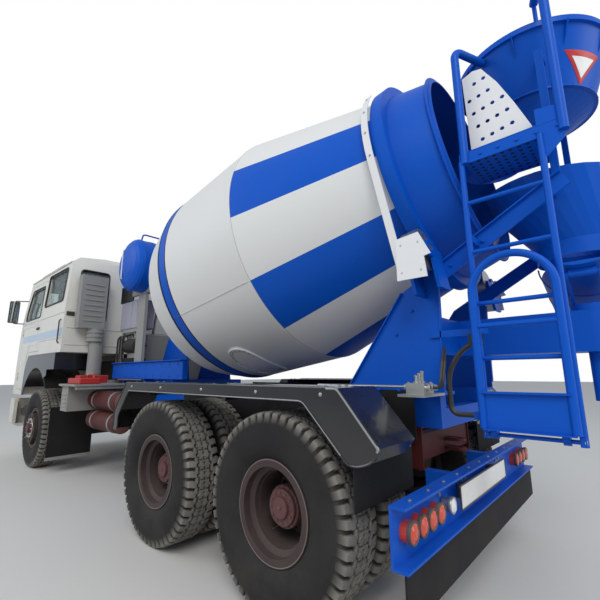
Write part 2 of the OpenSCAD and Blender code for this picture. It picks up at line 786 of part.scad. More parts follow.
module ring_guard() {
    guard_r = ring_r + 23;
    wide = 50;
    turn = 96; // where the strip leaves its bend, from straight up
    cover_y = roller_y + guard_out;
    color("white") place() both_sides() {
        // strip bent round the drum in front of the running ring, then straight down
        on_drum() translate([0, 0, drum_rear_cone - wide - 4]) {
            rotate([0, 0, 50]) rotate_extrude(angle = turn - 50, $fn = 96) translate([guard_r, 0]) square([6, wide]);
            rotate([0, 0, turn]) translate([guard_r, 0, 0]) cube([6, 830, wide]);
        }
        // cover over the roller
        side_plate(cover_y, cover_y + 6) polygon([
            [-688, 2144], [-835, 2161], [-903, 2016], [-862, 2008], [-875, 1885], [-688, 1885]
        ]);
        side_plate(cover_y - 28, cover_y) polygon([
            [-694, 2140], [-688, 2140], [-688, 1885], [-694, 1885]
        ]);
    }
}

module charging_hopper() {
    arm_z = 3190;
    post_y = pedestal_y - 16;
    band = 8;
    color("royalblue") place() difference() {
        union() {
            hopper_body(band);
            translate([-hopper_x, 0, hopper_rim_z - 30]) cylinder(r = hopper_r, h = 30);
            translate([-hopper_x, 0, shoulder_z]) cylinder(r = shoulder_r + 14, h = 10);
            both_sides() {
                block([-1520, post_y - 36, 2345], [-1480, post_y, arm_z + 30]);
                block([-1520, 150, arm_z], [-1480, post_y - 36, arm_z + 30]);
            }
        }
        hopper_body(band + sheet_t);
    }
}

hopper_rim_z = 3430;
shoulder_z = 3050; // where the hopper's cone meets its spout
shoulder_r = 340;

// Cone over a spout that leans into the drum's mouth, drawn in by w
module hopper_body(w) {
    spout_r = 210;
    spout_z = 2800;
    inner = w > 10 ? 1 : 0;
    translate([-hopper_x, 0, 0]) {
        translate([0, 0, shoulder_z])
            cylinder(r1 = shoulder_r - w, r2 = hopper_r - w, h = hopper_rim_z - shoulder_z + inner);
        hull() {
            translate([0, 0, shoulder_z - 1]) cylinder(r = shoulder_r - w, h = 1 + inner, $fn = 32);
            translate([290, 0, spout_z - inner]) cylinder(r = spout_r - w, h = 2, $fn = 32);
        }
    }
}

module discharge_funnel() {
    top_z = 2500;
    top_r = 400;
    collar_z = chute_clear_z;
    collar_top = 2110;
    color("royalblue") place() difference() {
        union() {
            hull() {
                translate([-1400, 0, top_z]) cylinder(r = top_r, h = 2, $fn = 32);
                translate([-chute_x, 0, collar_top]) cylinder(r = collar_r, h = 2, $fn = 32);
            }
            both_sides() block([-1475, 200, 2340], [-1430, pedestal_y - 16, 2370]);
            rod_z(collar_r, collar_z, collar_top, -chute_x, 0);
        }
        hull() {
            translate([-1400, 0, top_z]) cylinder(r = top_r - sheet_t, h = 4, $fn = 32);
            translate([-chute_x, 0, collar_top]) cylinder(r = collar_r - sheet_t, h = 2, $fn = 32);
        }
        rod_z(collar_r - sheet_t, collar_z - 1, collar_top + 1, -chute_x, 0);
        on_drum() cylinder(r = drum_mouth_r + 60, h = drum_rear_cone + drum_neck + 40);
    }
}

module ladder() {
    floor_z = platform_z - platform_h;
    far_x = ladder_x + 510; // rear rail over the platform
    near_x = ladder_x + 20; // front rail over the platform
    far_top = 3570;
    color("dodgerblue") place() {
        for (x = [ladder_x, ladder_x + ladder_w])
            rod_z(ladder_tube_r, ladder_foot, floor_z + 20, -x, ladder_y);
        for (z = [ladder_foot + 110 : rung_step : floor_z - 200])
            rod_x(12, -ladder_x - ladder_w, -ladder_x, ladder_y, z);
        block([-far_x, ladder_y - 4, floor_z], [-ladder_x + 10, ladder_y + 4, platform_z]);
        block([-1480, 300, floor_z + 8], [-ladder_x - 10, ladder_y - 2, floor_z + 14]);
        side_plate(ladder_y - 4, ladder_y + 4) polygon([
            [-far_x, 2530], [-far_x, 2720], [-ladder_x - ladder_w + 10, 2740],
            [-ladder_x - ladder_w + 10, 2440], [-ladder_x - ladder_w - 8, 2440]
        ]);
        // rails over the platform, each turned to the hopper at its top
        hand_rail(near_x, ladder_top, hopper_r * 0.97);
        hand_rail(far_x, far_top, hopper_r - 14);
        hopper_way(far_x) translate([hopper_r - 14, 0, hopper_rim_z])
            cylinder(r = upper_rail_r * 0.5, h = far_top - hopper_rim_z);
        for (z = [1560, 2090])
            block([-ladder_x - 15, pedestal_y, z], [-ladder_x + 15, ladder_y - 10, z + 40]);
        block([-ladder_x - 15, pedestal_y, 1560], [-740, pedestal_y + 16, 1600]);
        block([-ladder_x + 6, hose_y - 14, hose_foot_z - 20], [hose_end_x, ladder_y - 5, hose_foot_z + 20]);
        // hinge tube of the folding section
        for (x = [-ladder_x, -ladder_x - ladder_w])
            block([x - 12, ladder_y, fold_z - 20], [x + 12, fold_y + 12, fold_z + 20]);
        rod_x(fold_pin_r, -ladder_x - ladder_w, -ladder_x, fold_y, fold_z);
    }
}

// From the hopper's middle towards the rail at x, along +X
module hopper_way(x) {
    translate([-hopper_x, 0, 0]) rotate([0, 0, atan2(ladder_y, hopper_x - x)]) children();
}

module hand_rail(x, top, from) {
    bend = 60;
    reach = norm([hopper_x - x, ladder_y]);
    rod_z(upper_rail_r, platform_z - platform_h, top - bend, -x, ladder_y);
    hopper_way(x) {
        translate([reach - bend, 0, top - bend]) rotate([90, 0, 0]) rotate_extrude(angle = 90)
            translate([bend, 0]) circle(r = upper_rail_r);
        translate([from, 0, top]) rotate([0, 90, 0]) cylinder(r = upper_rail_r, h = reach - bend - from);
    }
}

module hopper_guard() {
    // holes in a slanted grid: row, first and last place in it
    rows = [[-1, 1, 2], [0, 0, 2], [1, 0, 3], [2, 0, 3], [3, 0, 3]];
    guard_y = ladder_y - 60;
    foot = platform_z - platform_h + 14;
    color("white") place() difference() {
        side_plate(guard_y, guard_y + 4) polygon([
            [-1115, foot], [-1100, 3185], [-1165, 3208], [-1215, 3195], [-1290, 3060],
            [-1365, 2880], [-1435, 2690], [-1445, foot]
        ]);
        for (row = rows, i = [row[1]:row[2]])
            rod_y(12, 0, ladder_y, -1131 - i * 54 - row[0] * 17, 3010 + i * 10 - row[0] * 95);
    }
}

module ladder_lower() {
    low = fold_z + 30;
    bend = ladder_w / 2 - 8;
    mid = -ladder_x - ladder_w / 2 + 8;
    top = 1960 - bend;
    y = fold_y + 30;
    plate_top = 1245;
    color("dodgerblue") place() {
        for (s = [-1, 1]) rod_z(20, low, top, mid + s * bend, y);
        translate([mid, y, top]) rotate([90, 0, 0]) rotate_extrude(angle = 180) translate([bend, 0]) circle(r = 20);
        rod_x(14, mid - bend, mid + bend, y, 1590);
        block([mid - bend, y - 3, low], [mid + bend, y + 3, plate_top]);
        for (z = [low, plate_top]) block([mid - bend, y - 3, z - 6], [mid + bend, y + 26, z]);
        for (s = [-1, 1]) difference() {
            union() {
                rod_x(20, mid + s * 150 - 15, mid + s * 150 + 15, fold_y, fold_z);
                block([mid + s * 150 - 15, fold_y, fold_z], [mid + s * 150 + 15, y + 3, low + 20]);
            }
            rod_x(fold_pin_r + pin_gap, mid - bend, mid + bend, fold_y, fold_z);
        }
    }
}

// Chute: post, trough and folding end, stowed to the right

post_low = 1180;
flange_top = sub_top + 530; // top of the post's flange
tilt_y = 200; // the trough's hinge, left of the post's axis
hinge_z = 1900; // height of that hinge
hinge_r = 10;
trough_up = 25; // bottom of the trough over its hinge
head_y = 60; // trough's closed head, from the hinge

module chute_swivel() {
    color("royalblue") place() translate([-chute_x, 0, 0]) {
        translate([0, 0, post_low]) cylinder(r = chute_post_r, h = flange_top - 1 - post_low);
        translate([0, 0, sub_top + 490 + fit]) cylinder(r = chute_post_r + 60, h = 40 - fit);
        for (x = [-82, 70]) side_ear(x);
        rod_x(hinge_r, -82, 82, tilt_y, hinge_z);
    }
}

// Ear of the swivel, standing on its flange
module side_ear(x) {
    end_plate(x, x + 12) polygon([
        [-50, flange_top], [50, flange_top], [tilt_y + 10, hinge_z - 22], [tilt_y + 18, hinge_z],
        [tilt_y + 8, hinge_z + 15], [tilt_y - 12, hinge_z + 14], [-50, flange_top + 20]
    ]);
}

// The trough's frame: Y along it, Z square to it, from its hinge
module on_chute() {
    translate([-chute_x, tilt_y, hinge_z]) rotate([chute_slope, 0, 0]) children();
}

module trough(r, len) {
    rotate([90, 0, 0]) linear_extrude(len) difference() {
        circle(r = r);
        circle(r = r - sheet_t);
        translate([-r, 0]) square([r * 2, r]);
    }
}

module chute() {
    rim = trough_up + chute_r;
    color("royalblue") place() difference() {
        on_chute() {
            translate([0, head_y, rim]) trough(chute_r, chute_len);
            translate([0, head_y, rim]) rotate([90, 0, 0]) linear_extrude(sheet_t) difference() {
                circle(r = chute_r - sheet_t);
                translate([-chute_r, 0]) square([chute_r * 2, chute_r]);
            }
            difference() {
                union() {
                    rod_x(18, -68, 68, 0, 0);
                    block([-68, -16, 0], [68, 16, trough_up + 1]);
                }
                rod_x(hinge_r + pin_gap, -70, 70, 0, 0);
            }
            for (x = [-chute_r, chute_r - 30]) difference() {
                block([x, head_y - chute_len - 30, rim - 30], [x + 30, head_y - chute_len + 10, rim]);
                rod_x(hinge_r + pin_gap, -chute_r - 1, chute_r + 1, fold_at, rim - 14);
            }
        }
        block([-chute_x - 400, -350, chute_clear_z - 45], [-chute_x + 400, 500, 2600]);
    }
}

fold_at = head_y - chute_len - 16; // axis of the folding end, along the trough

module chute_extension() {
    r = chute_r - 50;
    rim = trough_up + chute_r;
    color("royalblue") place() on_chute() {
        translate([0, fold_at + 20, rim + fit]) mirror([0, 0, 1]) translate([0, chute_end_len, 0]) trough(r, chute_end_len);
        rod_x(hinge_r, -chute_r + 1, chute_r - 1, fold_at, rim - 14);
        for (x = [-r + 4, r - 28]) block([x, fold_at - 10, rim - 24], [x + 24, fold_at + 60, rim + 20]);
    }
}

module rear_bumper() {
    color("dodgerblue") place() {
        depth = 80;
        difference() {
            block([-bumper_x, -bumper_half, bumper_z], [-bumper_x + depth, bumper_half, bumper_z + bumper_h]);
            block([-bumper_x - 1, -bumper_half - 1, bumper_z + 12],
                [-bumper_x + depth - 12, bumper_half + 1, bumper_z + bumper_h - 12]);
        }
        both_sides() block([-bumper_x + depth, rail_y - rail_flange, 640], [-frame_rear, rail_y - 20, 740]);
    }
}

module rear_lamps() {
    color("orangered") place() both_sides() for (k = [0:3])
        translate([-bumper_x + 20, bumper_half - 110 - k * 105, bumper_z + bumper_h / 2])
            rotate([0, 90, 0]) cylinder(r = 48, h = 48);
}

module control_valve() {
    seat_z = sub_top + 15;
    color("silver") place() {
        block([-790, 640, seat_z], [-680, 770, seat_z + 60]);
        block([foot_back, pedestal_y, seat_z - 15], [-640, 800, seat_z]);
        for (k = [0:2]) {
            rod_x(7, -680, 60 - k * 60, 665 + k * 40, seat_z + 40);
            rod_x(16, -815, -790, 665 + k * 40, seat_z + 36);
            rod_z(9, seat_z + 60, seat_z + 120 - k * 12, -735, 665 + k * 40);
        }
    }
}

hose_y = 600;
hose_r = 14;
hose_end_x = -1000; // where the pipe enters the clip on the ladder's rail
hose_foot_z = 1115;

// Hose from the pedestal's gland, hanging round to a pipe elbow by the ladder
module valve_hose() {
    arc_r = 262;
    arc_z = 1270;
    elbow_r = 45;
    drop_x = -868;
    gland_x = [-1050, -1000];
    color("black") place() {
        translate([drop_x - arc_r, hose_y, arc_z]) rotate([90, 0, 0]) rotate_extrude(angle = 66)
            translate([arc_r, 0]) circle(r = hose_r);
        rod_z(hose_r, hose_foot_z + elbow_r, arc_z, drop_x, hose_y);
        translate([drop_x - elbow_r, hose_y, hose_foot_z + elbow_r]) rotate([90, 0, 0]) rotate([0, 0, -90])
            rotate_extrude(angle = 90) translate([elbow_r, 0]) circle(r = hose_r);
        rod_x(hose_r, hose_end_x, drop_x - elbow_r, hose_y, hose_foot_z);
        block([gland_x[0], pedestal_y, 1490], [gland_x[1], hose_y + hose_r, 1560]);
    }
}

// Cab

cab_top = cab_drip_z + cab_crown;
hinge_x = nose - 187; // axis of a door's hinges
hinge_out = cab_half_w + 14;
door_pin_r = 6;
door_hinges = [1300, 2050]; // lower edges of the two door hinges

function cab_side(w) = [
    [cab_rear + w, cab_sill_z + w], [cab_rear + w, cab_drip_z + 60 - w], [cab_rear + 150, cab_top - w],
    [nose - 420, cab_top - w], [nose - 270 - w * 0.5, cab_drip_z - w * 0.5],
    [nose - 20 - w, 2150], [nose - w, 1900], [nose - w, cab_front_z + w],
    [nose - 660 + w, cab_front_z + w], [nose - 660 + w, 1400 + w * 0.3], [nose - 780 + w * 0.6, cab_sill_z + w]
];

function cab_end(w) = [
    [-cab_half_w + w, cab_front_z - 1], [-cab_half_w + w, 2300], [-cab_half_w + 30 + w, cab_drip_z],
    [-cab_half_w + 130 + w, cab_drip_z + 90 - w], [-700, cab_top - w], [700, cab_top - w],
    [cab_half_w - 130 - w, cab_drip_z + 90 - w], [cab_half_w - 30 - w, cab_drip_z],
    [cab_half_w - w, 2300], [cab_half_w - w, cab_front_z - 1]
];

module cab_form(w) {
    intersection() {
        side_plate(-cab_half_w, cab_half_w) polygon(cab_side(w));
        end_plate(cab_rear - 10, nose + 10) polygon(cab_end(w));
    }
}

door_front = nose - 190;
door_back = nose - 1270;

// Door outline in the side view, grown by g
module door_outline(g) {
    polygon([
        [door_back - g, cab_sill_z + 60 - g], [door_back - g, 2860 + g],
        [nose - 400 + g * 0.5, 2880 + g], [door_front - 50 + g, 2500], [door_front + g, 2180],
        [door_front + g, 1110 - g], [nose - 600 - g, 1110 - g], [nose - 600 - g, 1420 - g],
        [nose - 730 - g * 0.5, cab_sill_z + 60 - g]
    ]);
}

module door_window(g) {
    polygon([
        [door_back + 90 - g, 2270 - g], [door_back + 90 - g, 2790 + g], [nose - 460 + g, 2800 + g],
        [door_front - 110 + g, 2440], [door_front - 90 + g, 2270 - g]
    ]);
}

module berth_window(g) {
    polygon([
        [cab_rear + 150 - g, 2400 - g], [cab_rear + 130 - g, 2890 + g], [door_back - 130 + g, 2900 + g],
        [door_back - 90 + g, 2400 - g]
    ]);
}

module screen_window(g) {
    polygon([
        [-1060 - g, 2230 - g], [-980 - g, 2870 + g], [980 + g, 2870 + g], [1060 + g, 2230 - g]
    ]);
}

module rear_window(g) {
    polygon([[660 - g, 2120 - g], [660 - g, 2860 + g], [1050 + g, 2860 + g], [1050 + g, 2120 - g]]);
}

module cab_shell() {
    color("gainsboro") place() {
        difference() {
            cab_form(0);
            cab_form(cab_wall);
            side_plate(-cab_half_w - 50, cab_half_w + 50) door_outline(door_gap);
            side_plate(-cab_half_w - 50, cab_half_w + 50) berth_window(0);
            end_plate(nose - 330, nose + 50) screen_window(0);
            both_sides() end_plate(cab_rear - 50, cab_rear + cab_wall + 20) rear_window(0);
        }
        both_sides() {
            // lug on the tilt pin
            difference() {
                block([tilt_x - 30, rail_y + 10, tilt_z - 30], [tilt_x + 30, rail_y + 40, cab_front_z + 10]);
                rod_y(tilt_pin_r + pin_gap, rail_y, rail_y + 50, tilt_x, tilt_z);
            }
            for (z = door_hinges) {
                rod_z(door_pin_r, z - 30, z + 70, hinge_x, hinge_out);
                for (s = [z - 40, z + 40 + fit]) {
                    rod_z(12, s, s + 40 - fit, hinge_x, hinge_out);
                    block([hinge_x, cab_half_w - 5, s], [hinge_x + 40, hinge_out, s + 40 - fit]);
                }
            }
        }
    }
}

module cab_glass() {
    color("lightblue", 0.4) place() {
        both_sides() {
            side_plate(cab_half_w - 56, cab_half_w - 50) berth_window(-fit);
            end_plate(cab_rear + 20, cab_rear + 20 + glass_t) rear_window(-fit);
        }
        intersection() {
            end_plate(nose - 330, nose + 50) screen_window(-fit);
            side_plate(-cab_half_w, cab_half_w) polygon([
                [nose - 285, cab_drip_z], [nose - 38, 2150], [nose - 44, 2150], [nose - 291, cab_drip_z]
            ]);
        }
    }
}

module door_panel() {
    difference() {
        union() {
            intersection() {
                side_plate(cab_half_w - cab_wall, cab_half_w) door_outline(0);
                end_plate(cab_rear, nose) polygon(cab_end(0));
            }
            for (z = door_hinges) {
                rod_z(12, z, z + 40, hinge_x, hinge_out);
                block([hinge_x - 40, cab_half_w - 5, z], [hinge_x, hinge_out, z + 40]);
            }
        }
        side_plate(0, cab_half_w + 50) door_window(0);
        for (z = door_hinges) rod_z(door_pin_r + pin_gap, z - 1, z + 41, hinge_x, hinge_out);
    }
    side_plate(cab_half_w - 34, cab_half_w - 28) door_window(0);
}

module door_left() { color("gainsboro") place() door_panel(); }
module door_right() { color("gainsboro") place() mirror([0, 1, 0]) door_panel(); }

module seats() {
    color("dimgray") place() both_sides() {
        floor_z = cab_sill_z + cab_wall;
        x = nose - 1370;
        block([x, 350, floor_z], [x + 500, 850, floor_z + 260]);
        block([x - 10, 350, floor_z + 260], [x + 490, 850, floor_z + 400]);
        block([x - 150, 350, floor_z + 300], [x - 10, 850, floor_z + 1000]);
    }
}

module dashboard() {
    color("black") place() side_plate(110 - cab_half_w, cab_half_w - 110) polygon([
        [nose - 480, 2060], [nose - 480, 2150], [nose - 330, 2200], [nose - 90, 2200],
        [nose - cab_wall - 20.3, 2150], [nose - cab_wall - 4.3, 1950], [nose - 330, 1950]
    ]);
}

module steering_wheel() {
    floor_z = cab_sill_z + cab_wall;
    color("black") place() {
        translate([nose - 640, 600, 2180]) rotate([0, -35, 0]) {
            rotate_extrude() translate([240, 0]) circle(r = 14, $fn = 24);
            cylinder(r = 50, h = 40, center = true);
            block([-240, -16, -8], [240, 16, 8]);
        }
        difference() {
            translate([nose - 640, 600, 2180]) rotate([0, -35, 0]) translate([0, 0, -640]) cylinder(r = 30, h = 640);
            block([nose - 1620, 300, 0], [nose, 900, floor_z]);
        }
        block([nose - 330, 570, floor_z], [nose - 290, 630, 1950]);
    }
}

module mirrors() {
    color("black") place() both_sides() {
        block([nose - 110, cab_half_w + 90, 2250], [nose - 60, cab_half_w + 240, 2650]);
        for (arm = [[2240, cab_half_w], [2650, cab_half_w - 16]])
            block([nose - 110, arm[1], arm[0]], [nose - 90, cab_half_w + 240, arm[0] + 20]);
    }
}

// Drum

module drum_form(w) {
    rotate_extrude($fn = 128) polygon(concat(
        [[0, hub_t + w]],
        [for (a = [60:-15:0]) [drum_head_r * cos(a) - w, head_t + w - drum_head_depth * sin(a) / sin(60)]],
        [
            [drum_r - w, -drum_cyl], [drum_r - w, 0], [drum_ring_seat_r - w, drum_rear_cone],
            [drum_mouth_r - w, drum_rear_cone + drum_neck + (w > 0 ? 1 : 0)],
            [0, drum_rear_cone + drum_neck + (w > 0 ? 1 : 0)]
        ]
    ));
}

module drum() {
    lip_t = drum_rear_cone + drum_neck - 34; // raised lip before the mouth
    color("whitesmoke") place() on_drum() {
        difference() {
            drum_form(0);
            drum_form(drum_wall);
        }
        translate([0, 0, lip_t]) difference() {
            cylinder(r = drum_mouth_r + 36, h = 14, $fn = 128);
            translate([0, 0, -1]) cylinder(r = drum_mouth_r + 4, h = 16, $fn = 128);
        }
    }
}

module drum_ring() {
    color("steelblue") place() on_drum() rotate_extrude($fn = 128) polygon([
        [drum_ring_seat_r, drum_rear_cone], [ring_r, drum_rear_cone], [ring_r, drum_rear_cone + ring_w],
        [drum_ring_seat_r - (drum_ring_seat_r - drum_mouth_r) * ring_w / drum_neck, drum_rear_cone + ring_w]
    ]);
}

frame_rails();
front_axle();
rear_axles();
springs();
engine();
prop_shaft();
fuel_tank();
battery_box();
air_tanks();
front_bumper();
rear_bumper();
mudflaps();
rear_fenders();
front_fenders();
subframe();
front_pedestal();
drum_drive();
water_tank();
power_pack();
rear_pedestal();
ring_guard();
charging_hopper();
discharge_funnel();
ladder();
hopper_guard();
control_valve();
valve_hose();
rear_lamps();
air_intake();
cab_shell();
cab_glass();
seats();
dashboard();
steering_wheel();
mirrors();
door_left();
door_right();
knuckle_left();
knuckle_right();
tyre_front_left();
rim_front_left();
tyre_front_right();
rim_front_right();
tyres_mid_left();
rims_mid_left();
tyres_mid_right();
rims_mid_right();
tyres_rear_left();
rims_rear_left();
tyres_rear_right();
rims_rear_right();
drum();
drum_ring();
roller_left();
roller_right();
chute_swivel();
chute();
chute_extension();
ladder_lower();
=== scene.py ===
import json
import math
import bpy
import numpy as np
from mathutils import Matrix


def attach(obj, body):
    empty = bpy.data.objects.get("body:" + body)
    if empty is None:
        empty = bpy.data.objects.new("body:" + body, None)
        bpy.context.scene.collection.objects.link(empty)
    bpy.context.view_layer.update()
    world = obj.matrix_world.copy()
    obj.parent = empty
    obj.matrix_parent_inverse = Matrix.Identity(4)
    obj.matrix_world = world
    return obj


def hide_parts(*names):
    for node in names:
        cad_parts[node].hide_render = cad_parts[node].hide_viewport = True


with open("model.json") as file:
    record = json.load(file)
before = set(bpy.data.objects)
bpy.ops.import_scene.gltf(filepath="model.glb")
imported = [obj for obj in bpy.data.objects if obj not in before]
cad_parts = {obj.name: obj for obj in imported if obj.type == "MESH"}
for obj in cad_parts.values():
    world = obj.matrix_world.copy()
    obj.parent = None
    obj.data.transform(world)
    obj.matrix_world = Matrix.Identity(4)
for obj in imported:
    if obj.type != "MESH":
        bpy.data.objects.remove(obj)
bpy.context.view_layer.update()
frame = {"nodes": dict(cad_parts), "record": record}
nodes = frame["nodes"]
record = frame["record"]
print("frame loaded")

lastAxle = -2.395  # the rearmost axle along X
wheelZ = 0.56
ezX = np.array([1.0, 0.0, 0.0])
ezY = np.array([0.0, 1.0, 0.0])
ezZ = np.array([0.0, 0.0, 1.0])


def at(x, y, z):  # a point measured from the rearmost axle
    return np.array([x + lastAxle, y, z], float)


def srgb(red, green, blue):  # screen colour of 0 to 255 to scene colour
    c = np.array([red, green, blue]) / 255
    return tuple(np.where(c <= 0.04045, c / 12.92, ((c + 0.055) / 1.055) ** 2.4))


def unit(v):  # the same directions, one long
    v = np.asarray(v, float)
    return v / np.linalg.norm(v, axis=-1, keepdims=True)


def frameOf(axis):  # two directions square to an axis
    axis = unit(axis)
    side = unit(np.cross(axis, ezZ if abs(axis[2]) < 0.9 else ezX))
    return side, np.cross(axis, side)


# Each form below is a pair: an array of points and a list of faces.
def grid(points, closeU=False, closeV=False):  # points[u, v], a surface of two parameters
    nu, nv = points.shape[:2]
    u = np.arange(nu if closeU else nu - 1)
    v = np.arange(nv if closeV else nv - 1)
    a, b = np.meshgrid(u, v, indexing="ij")
    a, b = a.ravel(), b.ravel()
    a1, b1 = (a + 1) % nu, (b + 1) % nv
    quads = np.stack([a * nv + b, a1 * nv + b, a1 * nv + b1, a * nv + b1], 1)
    return points.reshape(-1, 3), quads.tolist()


def lathe(profile, origin, axis, segs=64, closed=True):  # profile[k] = (radius, along) turned about the axis
    profile = np.asarray(profile, float)
    side, up = frameOf(axis)
    turn = np.linspace(0, 2 * np.pi, segs, endpoint=False)
    ring = np.cos(turn)[:, None] * side + np.sin(turn)[:, None] * up
    points = (np.asarray(origin) + profile[None, :, 1, None] * unit(axis)
              + profile[None, :, 0, None] * ring[:, None, :])
    return grid(points, closeU=True, closeV=closed)


def disc(radius, low, high, origin, axis, segs=48, bevel=0.15):  # solid round piece with eased edges
    e = bevel * min(radius, high - low)
    tiny = radius * 0.002
    return lathe([(tiny, low), (radius - e, low), (radius, low + e), (radius, high - e),
                  (radius - e, high), (tiny, high)], origin, axis, segs)


def tube(path, radius, sides=12, closed=False):  # circle of one radius carried along a path
    path = np.asarray(path, float)
    if closed:
        tangent = unit(np.roll(path, -1, 0) - np.roll(path, 1, 0))
    else:
        tangent = unit(np.gradient(path, axis=0))
    side = frameOf(tangent[0])[0]
    sideways = []
    for t in tangent:  # the frame is carried on without twist
        side = unit(side - np.dot(side, t) * t)
        sideways.append(side)
    sideways = np.array(sideways)
    over = np.cross(tangent, sideways)
    turn = np.linspace(0, 2 * np.pi, sides, endpoint=False)
    points = (path[:, None] + radius * (np.cos(turn)[None, :, None] * sideways[:, None]
              + np.sin(turn)[None, :, None] * over[:, None]))
    verts, faces = grid(points, closeU=closed, closeV=True)
    if not closed:
        n = len(path)
        faces.append(list(range(sides)))
        faces.append(list(range((n - 1) * sides, n * sides))[::-1])
    return verts, faces


def prism(loop, shift):  # flat outline carried along one vector
    loop = np.asarray(loop, float)
    n = len(loop)
    verts = np.concatenate([loop, loop + np.asarray(shift)])
    sides = [[k, (k + 1) % n, n + (k + 1) % n, n + k] for k in range(n)]
    return verts, sides + [list(range(n))[::-1], list(range(n, 2 * n))]


def filleted(points, radius, steps=5, closed=False):  # straight legs joined by round bends
    p = np.asarray(points, float)
    n = len(p)
    path = []
    for k in range(n):
        if not closed and k in (0, n - 1):
            path.append(p[k])
            continue
        before, after = p[k - 1] - p[k], p[(k + 1) % n] - p[k]
        lb, la = np.linalg.norm(before), np.linalg.norm(after)
        cut = min(radius, lb * 0.45, la * 0.45)
        start, end = p[k] + before / lb * cut, p[k] + after / la * cut
        s = np.linspace(0, 1, steps)[:, None]
        path.extend((1 - s) ** 2 * start + 2 * s * (1 - s) * p[k] + s ** 2 * end)
    return np.array(path)


def rod(start, end, radius, sides=12):  # straight round bar with flat ends
    return tube(np.stack([start, (np.asarray(start) + end) / 2, end]), radius, sides)


def pipe(points, radius, bend=0.05, sides=10, closed=False):  # bent pipe through corner points
    return tube(filleted(points, bend, 5, closed), radius, sides, closed)


def bevelBox(low, high, e=0.005):  # block with all twelve edges cut back by e
    low, high = np.minimum(low, high).astype(float), np.maximum(low, high).astype(float)
    mid, half = (low + high) / 2, (high - low) / 2
    e = min(e, *(half * 0.6))
    sign = np.array([[x, y, z] for x in (-1, 1) for y in (-1, 1) for z in (-1, 1)])
    verts = np.concatenate([mid + sign * (half - e * (1 - np.eye(3)[k])) for k in range(3)])
    spot = {tuple(v): k for k, v in enumerate(sign.tolist())}
    faces = []
    for k in range(3):  # main faces
        i, j = [(1, 2), (2, 0), (0, 1)][k]
        for d in (-1, 1):
            quad = []
            for a, b in ((-1, -1), (1, -1), (1, 1), (-1, 1)):
                c = [0, 0, 0]
                c[k], c[i], c[j] = d, a, b
                quad.append(k * 8 + spot[tuple(c)])
            faces.append(quad if d > 0 else quad[::-1])
    for k in range(3):  # edge strips along axis k
        i, j = [(1, 2), (2, 0), (0, 1)][k]
        for a in (-1, 1):
            for b in (-1, 1):
                c0, c1 = [0, 0, 0], [0, 0, 0]
                c0[k], c1[k] = -1, 1
                c0[i] = c1[i] = a
                c0[j] = c1[j] = b
                q = [i * 8 + spot[tuple(c0)], j * 8 + spot[tuple(c0)], j * 8 + spot[tuple(c1)],
                     i * 8 + spot[tuple(c1)]]
                faces.append(q if a * b > 0 else q[::-1])
    for c in sign.tolist():  # corners
        q = [k * 8 + spot[tuple(c)] for k in range(3)]
        faces.append(q if c[0] * c[1] * c[2] > 0 else q[::-1])
    return verts, faces


def bolts(points, normal, radius=0.009, height=0.008, sides=6):  # hexagon heads on washers, all along one normal
    points = np.asarray(points, float).reshape(-1, 3)
    normal = unit(np.broadcast_to(np.asarray(normal, float), points.shape))
    side = unit(np.cross(normal, np.where(np.abs(normal[:, 2:]) < 0.9, ezZ, ezX)))
    over = np.cross(normal, side)
    turn = np.arange(sides) / sides * 2 * np.pi
    ring = np.cos(turn)[:, None] * side[:, None] + np.sin(turn)[:, None] * over[:, None]
    levels = [(1.45, -0.1), (1.45, 0.25), (1.0, 0.25), (1.0, 0.9), (0.85, 1.0)]
    verts = np.stack([points[:, None] + ring * radius * r + normal[:, None] * height * h for r, h in levels], 1)
    n, m = len(points), len(levels)
    base = (np.arange(n) * m * sides)[:, None, None]
    lv = (np.arange(m - 1) * sides)[None, :, None]
    k = np.arange(sides)[None, None, :]
    a, b = base + lv + k, base + lv + (k + 1) % sides
    quads = np.stack([a, b, b + sides, a + sides], -1).reshape(-1, 4).tolist()
    tops = (base[:, 0] + (m - 1) * sides + np.arange(sides)).tolist()
    feet = (base[:, 0] + np.arange(sides)[::-1]).tolist()
    return verts.reshape(-1, 3), quads + tops + feet


def ringOf(count, radius, origin, axis, start=0.0):  # points spaced evenly round an axis
    side, over = frameOf(axis)
    turn = start + np.arange(count) / count * 2 * np.pi
    return np.asarray(origin) + radius * (np.cos(turn)[:, None] * side + np.sin(turn)[:, None] * over)


def torus(radius, thick, origin, axis, segs=64, sides=8):  # round bar bent into a ring about an axis
    return tube(ringOf(segs, radius, origin, axis), thick, sides, True)


def mirrored(form):  # the same form on the other side of the truck
    verts, faces = form
    return verts * np.array([1, -1, 1]), [f[::-1] for f in faces]


def bothSides(forms):  # the forms and their mirror images
    return list(forms) + [mirrored(f) for f in forms]


def piece(name, forms, look, body="chassis", stands=(), crease=35):  # one object of the forms, on one body
    verts, faces, start = [], [], 0
    for v, f in forms:
        verts.append(np.asarray(v, float))
        faces.extend([[i + start for i in q] for q in f])
        start += len(v)
    mesh = bpy.data.meshes.new(name)
    mesh.from_pydata(np.concatenate(verts).tolist(), [], faces)
    obj = bpy.data.objects.new(name, mesh)
    bpy.context.collection.objects.link(obj)
    mesh.polygons.foreach_set("use_smooth", [True] * len(mesh.polygons))
    bpy.context.view_layer.objects.active = obj
    obj.select_set(True)
    bpy.ops.object.mode_set(mode="EDIT")
    bpy.ops.mesh.select_all(action="SELECT")
    bpy.ops.mesh.normals_make_consistent(inside=False)
    bpy.ops.object.mode_set(mode="OBJECT")
    bpy.ops.object.shade_smooth_by_angle(angle=math.radians(crease))
    obj.select_set(False)
    obj.data.materials.append(materials[look])
    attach(obj, body)
    if stands:
        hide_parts(*stands)
    return obj


